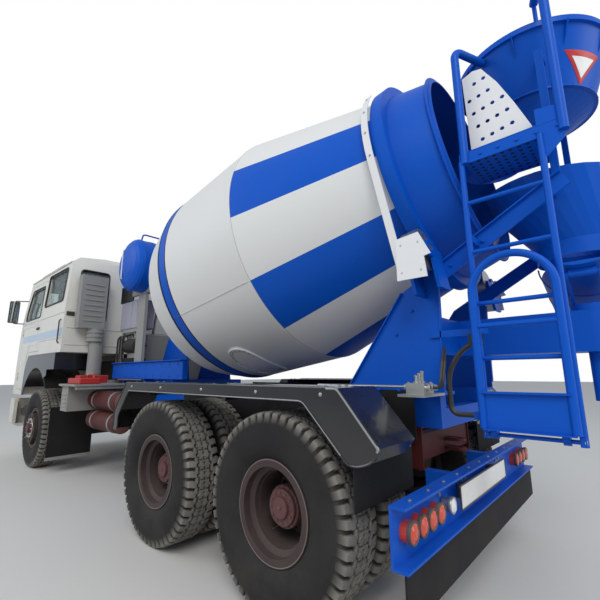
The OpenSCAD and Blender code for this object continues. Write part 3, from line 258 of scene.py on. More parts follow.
# Materials: each of these adds to a node tree, and the nodes give back their output.
def newGroup(name, ins, outs):
    group = bpy.data.node_groups.new(name, "ShaderNodeTree")
    for label, kind in ins:
        group.interface.new_socket(label, in_out="INPUT", socket_type="NodeSocket" + kind)
    for label, kind in outs:
        group.interface.new_socket(label, in_out="OUTPUT", socket_type="NodeSocket" + kind)
    return group, group.nodes.new("NodeGroupInput"), group.nodes.new("NodeGroupOutput")


def mathNode(tree, operation, a, b=None, clamp=False):  # a and b are numbers or other nodes' outputs
    node = tree.nodes.new("ShaderNodeMath")
    node.operation = operation
    node.use_clamp = clamp
    for k, v in enumerate((a, b)):
        if v is None:
            continue
        if isinstance(v, (int, float)):
            node.inputs[k].default_value = v
        else:
            tree.links.new(v, node.inputs[k])
    return node.outputs[0]


def mixNode(tree, factor, a, b):
    node = tree.nodes.new("ShaderNodeMix")
    node.data_type = "RGBA"
    for k, v in ((0, factor), (6, a), (7, b)):
        if isinstance(v, (int, float)):
            node.inputs[k].default_value = v
        elif isinstance(v, tuple):
            node.inputs[k].default_value = (*v, 1)
        else:
            tree.links.new(v, node.inputs[k])
    return node.outputs[2]


def noiseNode(tree, vector, scale, detail=3.0, rough=0.6):
    node = tree.nodes.new("ShaderNodeTexNoise")
    node.inputs["Scale"].default_value = scale
    node.inputs["Detail"].default_value = detail
    node.inputs["Roughness"].default_value = rough
    tree.links.new(vector, node.inputs["Vector"])
    return node.outputs["Fac"]


roadDust = srgb(160, 150, 136)
primer = srgb(96, 82, 74)  # shows where the paint is worn off

# Road dust: thick near the ground and on faces that look up, thin higher, in cloudy patches.
dustGroup, dustIn, dustOut = newGroup(
    "roadDust", [("Color", "Color"), ("Amount", "Float"), ("Reach", "Float"), ("Grain", "Float")],
    [("Color", "Color"), ("Mask", "Float")])
coords = dustGroup.nodes.new("ShaderNodeTexCoord")
place = dustGroup.nodes.new("ShaderNodeSeparateXYZ")
dustGroup.links.new(coords.outputs["Object"], place.inputs[0])
cloud = mathNode(dustGroup, "MULTIPLY",
                 mathNode(dustGroup, "ADD", noiseNode(dustGroup, coords.outputs["Object"], 2.4, 5.0),
                          -0.3), 2.2, True)
grainNoise = noiseNode(dustGroup, coords.outputs["Object"], 38.0, 2.0)
low = mathNode(dustGroup, "SUBTRACT", 1.0, mathNode(dustGroup, "DIVIDE", place.outputs["Z"],
                                                    dustIn.outputs["Reach"]), True)
geo = dustGroup.nodes.new("ShaderNodeNewGeometry")
facing = dustGroup.nodes.new("ShaderNodeSeparateXYZ")
dustGroup.links.new(geo.outputs["Normal"], facing.inputs[0])
upward = mathNode(dustGroup, "MULTIPLY", facing.outputs["Z"], 0.5, True)
load = mathNode(dustGroup, "ADD", mathNode(dustGroup, "ADD", low, upward), 0.12)
mask = mathNode(dustGroup, "MULTIPLY", mathNode(dustGroup, "MULTIPLY", load, cloud), dustIn.outputs["Amount"], True)
speck = mathNode(dustGroup, "MULTIPLY", mathNode(dustGroup, "MULTIPLY", grainNoise, dustIn.outputs["Grain"]), mask)
mask = mathNode(dustGroup, "ADD", mask, speck, True)
dustGroup.links.new(mixNode(dustGroup, mask, dustIn.outputs["Color"], roadDust), dustOut.inputs["Color"])
dustGroup.links.new(mask, dustOut.inputs["Mask"])


# Wear: small chips and rubbed patches where the paint shows what lies under it.
wearGroup, wearIn, wearOut = newGroup(
    "paintWear", [("Color", "Color"), ("Under", "Color"),
                  ("Amount", "Float")], [("Color", "Color"), ("Mask", "Float")])
spotAt = wearGroup.nodes.new("ShaderNodeTexCoord")
chips = noiseNode(wearGroup, spotAt.outputs["Object"], 16.0, 9.0, 0.72)
areas = noiseNode(wearGroup, spotAt.outputs["Object"], 1.7, 2.0, 0.5)
chipped = mathNode(wearGroup, "SUBTRACT", mathNode(wearGroup, "ADD", chips,
                                                   mathNode(wearGroup, "MULTIPLY", areas, 0.35)), 0.86)
chipped = mathNode(wearGroup, "MULTIPLY", mathNode(wearGroup, "MULTIPLY", chipped, 16.0, True),
                   wearIn.outputs["Amount"])
wearGroup.links.new(mixNode(wearGroup, chipped, wearIn.outputs["Color"], wearIn.outputs["Under"]),
                    wearOut.inputs["Color"])
wearGroup.links.new(chipped, wearOut.inputs["Mask"])


def finish(name, color, rough=0.4, metal=0.0, dust=0.5, reach=1.2, coat=0.0, bump=0.0, bumpScale=60.0, spec=0.5,
           wear=0.0):
    mat = bpy.data.materials.new(name)
    mat.use_nodes = True
    tree = mat.node_tree
    shader = tree.nodes["Principled BSDF"]
    group = tree.nodes.new("ShaderNodeGroup")
    group.node_tree = dustGroup
    group.inputs["Color"].default_value = (*color, 1)
    group.inputs["Amount"].default_value = dust
    group.inputs["Reach"].default_value = reach
    group.inputs["Grain"].default_value = 0.5
    tree.links.new(group.outputs["Color"], shader.inputs["Base Color"])
    if wear:
        chips = tree.nodes.new("ShaderNodeGroup")
        chips.node_tree = wearGroup
        chips.inputs["Color"].default_value = (*color, 1)
        chips.inputs["Under"].default_value = (*primer, 1)
        chips.inputs["Amount"].default_value = wear
        tree.links.new(chips.outputs["Color"], group.inputs["Color"])
    spread = mathNode(tree, "ADD", mathNode(tree, "MULTIPLY", group.outputs["Mask"], 0.9 - rough), rough, True)
    tree.links.new(spread, shader.inputs["Roughness"])
    shader.inputs["Metallic"].default_value = metal
    shader.inputs["Coat Weight"].default_value = coat
    shader.inputs["Coat Roughness"].default_value = 0.08
    shader.inputs["Specular IOR Level"].default_value = spec
    if bump:
        where = tree.nodes.new("ShaderNodeTexCoord")
        lift = tree.nodes.new("ShaderNodeBump")
        lift.inputs["Strength"].default_value = bump
        lift.inputs["Distance"].default_value = 0.004
        tree.links.new(noiseNode(tree, where.outputs["Object"], bumpScale), lift.inputs["Height"])
        tree.links.new(lift.outputs[0], shader.inputs["Normal"])
    return mat


# Finishes: slot of the record, colour, roughness, and what differs from plain paint. The first one of a
# slot is also the finish of the frame's own pieces.
blue = srgb(0, 80, 184)
finishes = {
    "bluePaint": ("blue_paint", blue, 0.4, dict(dust=0.03, reach=1.4, bump=0.08, bumpScale=9, spec=0.16, wear=0.2)),
    # Mixing blades: a lighter blue than the drum's, mixed toward the dust colour all over: painted light for the
    # light inside the shaded mouth.
    "bladePaint": ("blue_paint", srgb(40, 98, 176), 0.6,
                   dict(dust=1.0, reach=9.0, bump=0.5, bumpScale=30, wear=0.5)),
    "whitePaint": ("white_paint", srgb(222, 222, 222), 0.4, dict(dust=0.3, bump=0.1, bumpScale=12, wear=0.25)),
    "plateWhite": ("white_paint", srgb(226, 226, 224), 0.35, dict(dust=0.45, reach=1.6)),
    "signRed": ("white_paint", srgb(188, 40, 36), 0.4, dict(dust=0.2)),
    "cabPaint": ("cab_paint", srgb(218, 216, 207), 0.34,
                 dict(coat=0.3, dust=0.5, reach=2.2, bump=0.05, bumpScale=7)),
    "doorDecal": ("cab_paint", srgb(176, 196, 214), 0.34, dict(coat=0.3, dust=0.4, reach=2.2)),
    "blackPaint": ("black_paint", srgb(13, 14, 20), 0.26,
                   dict(coat=0.5, dust=0.06, reach=1.5, bump=0.05, bumpScale=8, wear=0.35)),
    "frameRed": ("frame_red", srgb(72, 8, 10), 0.5, dict(dust=0.12, wear=0.4, bump=0.1, bumpScale=40, spec=0.3)),
    "gearIron": ("running_gear", srgb(42, 38, 37), 0.75, dict(metal=0.3, dust=0.35, bump=0.4, wear=0.4)),
    "greyPaint": ("grey_metal", srgb(136, 136, 134), 0.5,
                  dict(dust=0.4, reach=1.8, bump=0.06, bumpScale=20, wear=0.3)),
    "boxPaint": ("grey_metal", srgb(150, 150, 164), 0.45,
                 dict(dust=0.4, reach=2.5, bump=0.05, bumpScale=15, wear=0.4)),
    "bareSteel": ("bare_steel", srgb(186, 186, 182), 0.32, dict(metal=0.9, dust=0.2, bump=0.08, bumpScale=90)),
    "wornSteel": ("bare_steel", srgb(150, 150, 150), 0.4, dict(metal=0.6, dust=0.3, bump=0.2, bumpScale=70)),
    "hubBolts": ("bare_steel", srgb(96, 72, 70), 0.5, dict(metal=0.4, dust=0.2, bump=0.2)),
    "rubberSheet": ("flap_rubber", srgb(20, 20, 22), 0.7,
                    dict(dust=0.05, reach=1.0, spec=0.25, bump=0.2, bumpScale=30)),
    "rimPaint": ("rim_paint", srgb(58, 45, 45), 0.6, dict(dust=0.1, reach=1.3, spec=0.3, bump=0.2, wear=0.4)),
    # Rim lip: much lighter than the rim, a painted highlight along the rolled lip.
    "rimLip": ("rim_paint", srgb(118, 106, 106), 0.5, dict(dust=0.3, reach=1.3, bump=0.2)),
    "hubPaint": ("rim_paint", srgb(88, 44, 46), 0.6, dict(dust=0.1, bump=0.3, wear=0.4)),
    "hoseRubber": ("hose_rubber", srgb(20, 20, 21), 0.5, dict(dust=0.3, bump=0.1, bumpScale=90)),
    "lampRed": ("lamp_lens", srgb(204, 56, 22), 0.15, dict(dust=0.1, coat=0.5, bump=0.3, bumpScale=160)),
    "lampAmber": ("lamp_lens", srgb(214, 110, 24), 0.15, dict(dust=0.15, coat=0.6)),
    "lampClear": ("lamp_lens", srgb(226, 228, 232), 0.1, dict(dust=0.1, coat=0.8)),
    "mirrorSilver": ("bare_steel", srgb(226, 230, 234), 0.03, dict(metal=1.0, dust=0.06)),
    # Hole cups: near black, painted shade in the floor's punched holes.
    "darkHole": ("blue_paint", srgb(8, 10, 20), 0.7, dict(dust=0.1, bump=0.1)),
    "airRed": ("running_gear", srgb(96, 44, 42), 0.55, dict(dust=0.5, bump=0.15, wear=0.4)),
    "brightRed": ("grey_metal", srgb(176, 34, 26), 0.45, dict(dust=0.35, bump=0.1, wear=0.5)),
    "cabPlastic": ("cab_plastic", srgb(30, 30, 32), 0.55, dict(dust=0.3, reach=2.5, bump=0.25, bumpScale=260)),
    "seatCloth": ("seat_fabric", srgb(72, 72, 76), 0.9, dict(dust=0.1, bump=0.5, bumpScale=300)),
    "tyreRubber": ("tyre", srgb(27, 27, 28), 0.8, dict(dust=0.07, reach=1.5, bump=0.4, bumpScale=120, spec=0.3)),
    "drumPaint": ("drum_paint", srgb(204, 204, 205), 0.42,
                  dict(dust=0.07, reach=2.0, bump=0.04, bumpScale=4, spec=0.16)),
}
materials = {name: finish(name, color, rough, **more) for name, (_, color, rough, more) in finishes.items()}

# Tyre rubber: the vertex mark set on each tyre is 1 on the tops of the lugs, which road dust makes pale, and 0 in
# the grooves and on the walls; the grooves kept dark are painted shade.
tree = materials["tyreRubber"].node_tree
marked = tree.nodes.new("ShaderNodeAttribute")
marked.attribute_name = "dusty"
where = tree.nodes.new("ShaderNodeTexCoord")
patchy = mathNode(tree, "MULTIPLY", mathNode(tree, "ADD", noiseNode(tree, where.outputs["Object"], 9.0, 4.0), 0.3),
                  marked.outputs["Fac"], True)
group = [n for n in tree.nodes if n.type == "GROUP"][0]
tree.links.new(mixNode(tree, patchy, srgb(27, 27, 28), srgb(132, 128, 120)), group.inputs["Color"])

glass = bpy.data.materials.new("cabGlass")
glass.use_nodes = True
pane = glass.node_tree.nodes["Principled BSDF"]
pane.inputs["Base Color"].default_value = (0.62, 0.7, 0.7, 1)
pane.inputs["Roughness"].default_value = 0.03
pane.inputs["Transmission Weight"].default_value = 0.9
pane.inputs["IOR"].default_value = 1.1
pane.inputs["Specular IOR Level"].default_value = 0.9
materials["glass"] = glass
finishes["glass"] = ("glass",)

# Drum paint, laid out by the drum's own axis: T along it to the mouth, A the angle round it from the top.
drum = {
    "tilt": math.radians(9.5), "origin": at(0.56, 0, 2.612), "stripes": 7, "first": 80.5, "width": 24.6,
    "ringAt": 1.17, "bandAt": -1.15, "bandWidth": 0.115, "seamAngle": 119.5, "barrelR": 1.135, "neckR": 0.8,
    "white": srgb(214, 214, 212), "bandEdge": srgb(14, 14, 18), "seam": srgb(110, 112, 116),
}
drumAxis = np.array([-math.cos(drum["tilt"]), 0, math.sin(drum["tilt"])])
drumUp = np.array([math.sin(drum["tilt"]), 0, math.cos(drum["tilt"])])


def onDrum(radius, angle, t):  # point of the drum's frame, angle in degrees from the top, to the left
    a = np.radians(angle)
    radius, a, t = np.broadcast_arrays(np.asarray(radius, float), a, np.asarray(t, float))
    return (drum["origin"] + t[..., None] * drumAxis + (radius * np.cos(a))[..., None] * drumUp
            + (radius * np.sin(a))[..., None] * ezY)


tree = materials["drumPaint"].node_tree
where = tree.nodes.new("ShaderNodeTexCoord")


def alongNode(tree, vector, direction, origin):  # distance of a point along one direction
    sub = tree.nodes.new("ShaderNodeVectorMath")
    sub.operation = "SUBTRACT"
    sub.inputs[1].default_value = origin
    tree.links.new(vector, sub.inputs[0])
    dot = tree.nodes.new("ShaderNodeVectorMath")
    dot.operation = "DOT_PRODUCT"
    dot.inputs[1].default_value = direction
    tree.links.new(sub.outputs[0], dot.inputs[0])
    return dot.outputs["Value"]


def between(tree, value, low, high):  # 1 where low < value < high
    over = mathNode(tree, "GREATER_THAN", value, low)
    return mathNode(tree, "MULTIPLY", over, mathNode(tree, "LESS_THAN", value, high))


tAlong = alongNode(tree, where.outputs["Object"], drumAxis, drum["origin"])
across = alongNode(tree, where.outputs["Object"], (0, 1, 0), drum["origin"])
upward = alongNode(tree, where.outputs["Object"], drumUp, drum["origin"])
angle = mathNode(tree, "MULTIPLY", mathNode(tree, "ARCTAN2", across, upward), 180 / math.pi)
step = 360 / drum["stripes"]
turned = mathNode(tree, "ADD", angle, 720 - drum["first"] + step / 2)
inStep = mathNode(tree, "SUBTRACT", mathNode(tree, "MODULO", turned, step), step / 2)
offMiddle = mathNode(tree, "ABSOLUTE", inStep)
stripe = mathNode(tree, "MULTIPLY", mathNode(tree, "LESS_THAN", offMiddle, drum["width"] / 2),
                  between(tree, tAlong, 0.0, drum["ringAt"]))
rearBlue = mathNode(tree, "GREATER_THAN", tAlong, drum["ringAt"])
band = between(tree, tAlong, drum["bandAt"], drum["bandAt"] + drum["bandWidth"])
blueMask = mathNode(tree, "MAXIMUM", mathNode(tree, "MAXIMUM", stripe, rearBlue), band)
darkMask = mathNode(tree, "MAXIMUM", between(tree, tAlong, drum["bandAt"] - 0.03, drum["bandAt"] + 0.004),
                    between(tree, tAlong, drum["bandAt"] + drum["bandWidth"],
                            drum["bandAt"] + drum["bandWidth"] + 0.016))
seamLong = mathNode(tree, "MULTIPLY", mathNode(tree, "LESS_THAN", mathNode(tree, "ABSOLUTE", mathNode(
    tree, "SUBTRACT", angle, drum["seamAngle"])), 0.12), between(tree, tAlong, -1.1, -0.06))
seamRound = between(tree, tAlong, -0.004, 0.003)
painted = mixNode(tree, blueMask, drum["white"], blue)
painted = mixNode(tree, darkMask, painted, drum["bandEdge"])
painted = mixNode(tree, mathNode(tree, "MULTIPLY", mathNode(tree, "MAXIMUM", seamLong, seamRound), 0.45),
                  painted, drum["seam"])
tree.links.new(painted, [n for n in tree.nodes if n.type == "GROUP"][0].inputs["Color"])

finishOf = {}
for name, row in finishes.items():
    finishOf.setdefault(row[0], name)
for part in record["subparts"]:
    obj = nodes[part["node"]]
    obj.data.materials.clear()
    obj.data.materials.append(materials[finishOf[part["material_slot"]]])
print("materials made")

# Tyre: radius as a function of the angle round it and of the place across it. Places across are shares of the
# half width, and a lug's share is of one pitch.
tread = {"radius": 0.56, "half": 0.15, "depth": 0.016, "pitches": 50, "samples": 12, "ribHalf": 0.55,
         "lug": 0.68, "ribsFrom": 0.55, "grooveAt": 0.34, "grooveHalf": 0.045, "middleHalf": 0.03, "zigzag": 0.05,
         "cutFrom": 0.86, "cutHalf": 0.3,
         "wall": [(0.254, 0.72), (0.29, 0.74), (0.315, 0.86), (0.345, 0.955), (0.384, 1.0), (0.43, 0.995),
                  (0.45, 0.98), (0.49, 0.955), (0.52, 0.92), (0.545, 0.895)],
         "inside": [(0.5, 0.62), (0.42, 0.8), (0.32, 0.66), (0.254, 0.6)]}


def tyreForm(x, y):  # profile turned about the axle, its crown cut back by the grooves and notches
    across = np.concatenate([np.linspace(-0.86, -0.6, 4), np.linspace(-0.56, 0.56, 15), np.linspace(0.6, 0.86, 4)])
    crown = tread["radius"] - 0.008 * np.clip((np.abs(across) - 0.6) / 0.26, 0, 1) ** 2
    wall, inner = np.array(tread["wall"]), np.array(tread["inside"])
    profile = np.concatenate([
        np.stack([wall[:, 0], -wall[:, 1]], 1), np.stack([crown, across], 1), wall[::-1],
        inner[::-1], np.stack([inner[:, 0], -inner[:, 1]], 1)])
    count = tread["pitches"] * tread["samples"]
    turn = np.arange(count) / count * 2 * np.pi
    r = np.repeat(profile[None, :, 0], count, 0)
    w = np.repeat(profile[None, :, 1], count, 0)
    phase = (turn[:, None] * tread["pitches"] / (2 * np.pi) + 0.25 * np.abs(w)) % 1.0
    shoulder = (np.abs(w) > tread["ribHalf"]) & (r > 0.505)
    crownPart = r > tread["ribsFrom"]
    # shoulder lugs stand between notches; two zigzag grooves and fine cuts part the middle ribs
    notch = ((phase > tread["lug"]) & shoulder).astype(float) * np.clip((r - 0.49) / 0.04, 0, 1)
    wave = tread["zigzag"] * np.where(phase < 0.5, 4 * phase - 1, 3 - 4 * phase)
    groove = (np.abs(np.abs(w) - tread["grooveAt"] - wave) < tread["grooveHalf"]) & crownPart
    middle = (np.abs(w + wave) < tread["middleHalf"]) & crownPart
    cut = (phase > tread["cutFrom"]) & (np.abs(w) < tread["cutHalf"]) & crownPart
    down = tread["depth"] * np.maximum(np.maximum(notch, groove), np.maximum(middle * 0.8, cut * 0.5))
    r = r - down
    w = w - np.sign(w) * 0.05 * notch * (np.abs(w) > 0.85)
    points = np.stack([x + lastAxle + r * np.cos(turn)[:, None], y + w * tread["half"],
                       wheelZ + r * np.sin(turn)[:, None]], -1)
    # 1 on the lug tops (road dust), 0 down in the grooves, where the dark is painted shade
    topDustGrooveShadeMark = np.clip((r + down - 0.5) / 0.04, 0, 1) * (1 - down / tread["depth"])
    dusty.append(topDustGrooveShadeMark.ravel())
    return grid(points, closeU=True, closeV=True)


wheelRows = [
    ("frontLeft", "wheel_front_left", "tyre_front_left", 5.24, [1.04]),
    ("frontRight", "wheel_front_right", "tyre_front_right", 5.24, [-1.04]),
    ("midLeft", "wheels_mid_left", "tyres_mid_left", 1.4, [1.07, 0.725]),
    ("midRight", "wheels_mid_right", "tyres_mid_right", 1.4, [-1.07, -0.725]),
    ("rearLeft", "wheels_rear_left", "tyres_rear_left", 0.0, [1.07, 0.725]),
    ("rearRight", "wheels_rear_right", "tyres_rear_right", 0.0, [-1.07, -0.725]),
]
for name, body, node, x, ys in wheelRows:
    dusty = []
    tyre = piece(name + "Tread", [tyreForm(x, y) for y in ys], "tyreRubber", body, (node,), 30)
    # mark of pale dust on the lug tops and painted shade in the grooves
    mark = tyre.data.attributes.new("dusty", "FLOAT", "POINT")
    mark.data.foreach_set("value", np.concatenate(dusty).astype(np.float32))
print("tyres made")

# Drum skin: one profile turned about the drum's axis, out along the outside and back inside.
skin = {"segs": 192, "wall": 0.01, "lipAt": 1.516, "lipRadius": 0.741}
a = np.radians(np.linspace(60, 0, 9))
head = np.stack([1.05 * np.cos(a), -1.5 - 0.23 * np.sin(a) / math.sin(math.radians(60))], 1)
shell = np.concatenate([[[0.02, -1.73]], head, [[1.135, -1.15], [1.135, -1.0], [1.135, -0.5], [1.135, 0.0],
                        [0.967, 0.585], [0.8, 1.17], [0.7762, 1.26], [0.727, 1.46], [0.7055, 1.545]]])
back = shell[::-1] - np.array([skin["wall"], 0])
back[:, 0] = np.maximum(back[:, 0], 0.012)
back[-2:, 1] += skin["wall"]
lipIn = 0.8 - 0.095 * (skin["lipAt"] - 1.17) / 0.38 - 0.006
lip = [(lipIn, skin["lipAt"]), (skin["lipRadius"] - 0.004, skin["lipAt"]),
       (skin["lipRadius"], skin["lipAt"] + 0.004),
       (skin["lipRadius"], skin["lipAt"] + 0.01), (skin["lipRadius"] - 0.004, skin["lipAt"] + 0.014),
       (lipIn, skin["lipAt"] + 0.014)]
piece("drumSkin", [lathe(np.concatenate([shell, back]), drum["origin"], drumAxis, skin["segs"]),
                   lathe(lip, drum["origin"], drumAxis, skin["segs"])], "drumPaint", "drum", ("drum",), 12)
print("drum made")


def box(x0, y0, z0, x1, y1, z1, e=0.004):  # eased block from two corners measured from the rearmost axle
    return bevelBox(at(x0, y0, z0), at(x1, y1, z1), e)


def pts(*rows):  # points measured from the rearmost axle
    return np.array([at(*row) for row in rows])


def bent(rows, radius, bend=0.02, sides=8, closed=False):  # pipe through such points
    return pipe(pts(*rows), radius, bend, sides, closed)


def heads(rows, normal, *sizes):  # bolt heads at such points
    return bolts(pts(*rows), normal, *sizes)


def badge(loop, rows, place):  # raised plate on a curved wall: its outline drawn in towards its middle
    loop = np.asarray(loop, float)
    middle = loop.mean(0)
    points = [place(*(middle + scale * (loop - middle)).T, lift) for scale, lift in rows]
    return grid(np.array(points), closeV=True)


def loopPoints(corners, count):  # points spread evenly along a closed outline
    p = np.asarray(corners, float)
    p = np.concatenate([p, p[:1]])
    run = np.concatenate([[0], np.cumsum(np.linalg.norm(np.diff(p, axis=0), axis=1))])
    s = np.linspace(0, run[-1], count, endpoint=False)
    return np.stack([np.interp(s, run, p[:, k]) for k in range(p.shape[1])], 1)


def strip(path, out, width, thick):  # flat bar carried along a path: width along out, thickness across it
    path = np.asarray(path, float)
    tangent = unit(np.gradient(path, axis=0))
    out = unit(np.broadcast_to(np.asarray(out, float), path.shape))
    over = unit(np.cross(tangent, out))
    corners = [(0, -0.5), (1, -0.5), (1, 0.5), (0, 0.5)]
    points = np.stack([path + out * width * a + over * thick * b for a, b in corners], 1)
    verts, faces = grid(points, closeV=True)
    n = len(path)
    return verts, faces + [[0, 1, 2, 3], [4 * n - 1, 4 * n - 2, 4 * n - 3, 4 * n - 4]]


# Wheels: hub casing, nuts and valve on each rim, turned about the axle line.
rearHub = {"profile": [(0.1215, 0.915), (0.1215, 1.074), (0.117, 1.0815), (0.1045, 1.083), (0.1045, 1.098),
                       (0.1, 1.1035), (0.0615, 1.1035), (0.0615, 1.117), (0.056, 1.1215), (0.0006, 1.1215),
                       (0.0006, 0.92)],
           "nutCircle": 0.1335, "nuts": 10, "discFace": 0.9143, "lip": 0.2815, "lipAt": 1.186,
           "nutFinish": "hubBolts",  # small bolts: count, circle, place, start, radius, height
           "small": ((12, 0.0835, 1.1035, 0.1, 0.0062, 0.007), (16, 0.1115, 1.0825, 0.0, 0.0042, 0.005),
                     (1, 0.0, 1.1215, 0.0, 0.012, 0.006))}
frontHub = {"profile": [(0.106, 1.206), (0.106, 1.2125), (0.1, 1.2165), (0.0665, 1.2165), (0.0665, 1.24),
                        (0.061, 1.246), (0.0006, 1.246), (0.0006, 1.21)],
            "nutCircle": 0.126, "nuts": 10, "discFace": 1.205, "lip": 0.2815, "lipAt": 1.156,
            "nutFinish": "bareSteel", "small": (),
            "nutRing": [(0.111, 1.2052), (0.141, 1.2052), (0.143, 1.2075), (0.141, 1.2115), (0.111, 1.2115)]}


def wheelTrim(x, hub, side):  # forms of one wheel's face, on the left where side is 1
    place = at(x, 0, wheelZ)
    axis = ezY * side
    on = [place + axis * y for y in (hub["discFace"], hub["lipAt"])]
    casing = [lathe(hub["profile"], place, axis, 48)]
    studs = ringOf(hub["nuts"], hub["nutCircle"], on[0], axis)
    nuts = [bolts(studs, axis, 0.0105, 0.021)] + [rod(s, s + axis * 0.03, 0.0055, 8) for s in studs]
    small = [bolts(ringOf(count, circle, place + axis * y, axis, start), axis, *size)
             for count, circle, y, start, *size in hub["small"]]
    lipRing = [torus(hub["lip"], 0.0052, on[1], axis, 72, 6)]
    turned = 0.9 if side > 0 else 2.2
    way = math.cos(turned) * ezX - math.sin(turned) * ezZ
    valve = [pipe([on[0] + way * 0.165 + axis * 0.001, on[0] + way * 0.19 + axis * 0.03,
                   on[0] + way * 0.205 + axis * (hub["lipAt"] - hub["discFace"]) * 0.5], 0.004, 0.02, 8)]
    return casing, nuts, small, lipRing, valve


for name, body, node, x, ys in wheelRows:
    hub = frontHub if len(ys) == 1 else rearHub
    side = math.copysign(1, ys[0])
    casing, nuts, small, lipRing, valve = wheelTrim(x, hub, side)
    piece(name + "Hub", casing, "hubPaint", body)
    piece(name + "Nuts", nuts + small, hub["nutFinish"], body)
    # The ring on the lip is lighter than the rim: painted highlight along its rolled edge.
    piece(name + "RimLip", lipRing, "rimLip", body)
    piece(name + "Valve", valve, "bareSteel", body)
    if hub is frontHub:
        piece(name + "NutRing", [lathe(hub["nutRing"], at(x, 0, wheelZ), ezY * side, 64)], "bareSteel", body)
print("wheel trim made")

# Rear fenders: rolled edge round the skirt, worn bare along two lines, the top one lighter also as a painted
# highlight for the sheen along the top edge, bolts into the brackets, flap strips.
fender = {"out": 1.2335, "bead": 0.0065,
          "loop": [(2.09, 0.83), (2.09, 0.96), (1.9, 1.195), (-0.29, 1.195), (-0.545, 0.945), (-0.58, 0.908),
                   (-0.64, 0.905), (-0.7, 0.925), (-0.745, 0.958), (-0.76, 1.0), (-0.53, 1.27), (1.96, 1.27),
                   (2.18, 1.0), (2.18, 0.83)],
          "ridge": [(-0.752, 0.985), (-0.757, 1.0), (-0.5285, 1.267), (-0.46, 1.267)],
          "low": [(1.9, 1.195), (-0.29, 1.195), (-0.545, 0.945)], "brackets": (-0.37, 0.7, 1.83),
          "boltYs": (0.92, 0.99, 1.12, 1.19), "sideBolts": (-0.42, 0.1, 0.7, 1.3, 1.84)}
edge = pipe([at(x, fender["out"], z) for x, z in fender["loop"]], fender["bead"], 0.03, 8, True)
piece("fenderEdge", bothSides([edge]), "blackPaint")
# The ridge's light steel is bare wear and also a painted highlight for the sheen along the fender's top edge.
ridge = pipe([at(x, fender["out"] + 0.001, z) for x, z in fender["ridge"]], 0.0075, 0.02, 8)
low = pipe([at(x, fender["out"] + 0.004, z + 0.001) for x, z in fender["low"]], 0.0036, 0.03, 8)
piece("fenderWear", bothSides([ridge, low]), "wornSteel")
spots = [(x, y, 1.2705) for x in fender["brackets"] for y in fender["boltYs"]]
feet = [(x, fender["out"] + 0.0005, 1.235) for x in fender["sideBolts"]]
piece("fenderBolts", bothSides([heads(spots, ezZ, 0.008, 0.007), heads(feet, ezY, 0.008, 0.006)]),
      "bareSteel")
hang = [(-0.6145, y, 0.928) for y in np.linspace(0.66, 1.18, 6)]
piece("flapBolts", bothSides([heads(hang, -ezX, 0.0085, 0.006), box(-0.6185, 0.625, 0.914, -0.6145, 1.215, 0.941)]),
      "wornSteel")
piece("flapStrips", bothSides([box(4.408, 0.615, 0.2, 4.4138, 1.185, 0.242, 0.002)]), "bareSteel")

# Rear bumper: blank plate, lamp bezels and lenses, a round white lamp, bolts through the web.
bumper = {"rear": -0.868, "lampX": -0.8485, "lampZ": 0.638, "lampR": 0.048,
          "lampYs": [1.11 - 0.105 * k for k in range(4)],
          "plate": (-0.35, 0.598, 0.56, 0.722), "plateFeet": ((-0.2, -0.14), (0.38, 0.44)),
          "webYs": (-0.42, -0.36, 0.3, 0.36, 0.7), "webZs": (0.575, 0.7), "workLamp": (-0.858, 0.661, 0.646)}


def lensForm(x, y, z, radius):  # shallow dome with ring steps, looking back
    profile = [(0.0005, 0.012), (radius * 0.3, 0.0115), (radius * 0.34, 0.0098), (radius * 0.6, 0.009),
               (radius * 0.64, 0.0072), (radius * 0.9, 0.005), (radius, 0.0005), (radius, -0.008), (0.0005, -0.008)]
    return lathe(profile, at(x, y, z), -ezX, 32)


def bezelForm(x, y, z, radius):  # rolled ring round a lens, looking back
    return lathe([(radius - 0.002, -0.014), (radius + 0.006, -0.014), (radius + 0.0075, -0.002),
                  (radius + 0.005, 0.005), (radius, 0.006), (radius - 0.004, 0.003)], at(x, y, z), -ezX, 32)


lenses = [lensForm(bumper["lampX"], y, bumper["lampZ"], bumper["lampR"] - 0.004) for y in bumper["lampYs"]]
piece("lampRedLens", bothSides(lenses), "lampRed")
piece("lampBezels", bothSides([bezelForm(bumper["lampX"], y, bumper["lampZ"], bumper["lampR"] - 0.003)
                               for y in bumper["lampYs"]]), "cabPlastic")
rear = bumper["rear"]
y0, z0, y1, z1 = bumper["plate"]
piece("blankPlate", [box(rear + 0.001, y0, z0, rear + 0.006, y1, z1, 0.0015)], "plateWhite")
plateLoop = [(rear + 0.001, y, z) for y, z in ((y0, z0), (y1, z0), (y1, z1), (y0, z1))]
plateFeet = [box(rear + 0.006, a, 0.62, -0.8, b, 0.7) for a, b in bumper["plateFeet"]]
piece("plateFrame", [bent(plateLoop, 0.0045, 0.012, 8, True)] + plateFeet, "cabPlastic")
x, y, z = bumper["workLamp"]
piece("rearWorkLamp", [lensForm(x, y, z, 0.036)], "lampClear")
piece("rearWorkLampShell", [bezelForm(x, y, z, 0.037), disc(0.036, 0.0, 0.05, at(-0.85, y, z), ezX, 32)],
      "bareSteel")
webBolts = [(-0.8005, y, z) for y in bumper["webYs"] for z in bumper["webZs"]]
flangeBolts = [(-0.83, y, 0.7685) for y in np.linspace(-1.1, 1.1, 12)]
piece("bumperBolts", [heads(webBolts, -ezX, 0.009, 0.008), heads(flangeBolts, ezZ, 0.008, 0.006)],
      "bareSteel")
print("fenders and bumper made")

# Drum trim: hatch, weld seams, mixing blades in the neck.
hatch = {"t": -0.7, "angle": 162.0, "halfT": 0.165, "halfAngle": 16.5}


def onBarrel(t, angle, lift):  # point over the drum's straight part
    return onDrum(drum["barrelR"] + lift, angle, t)


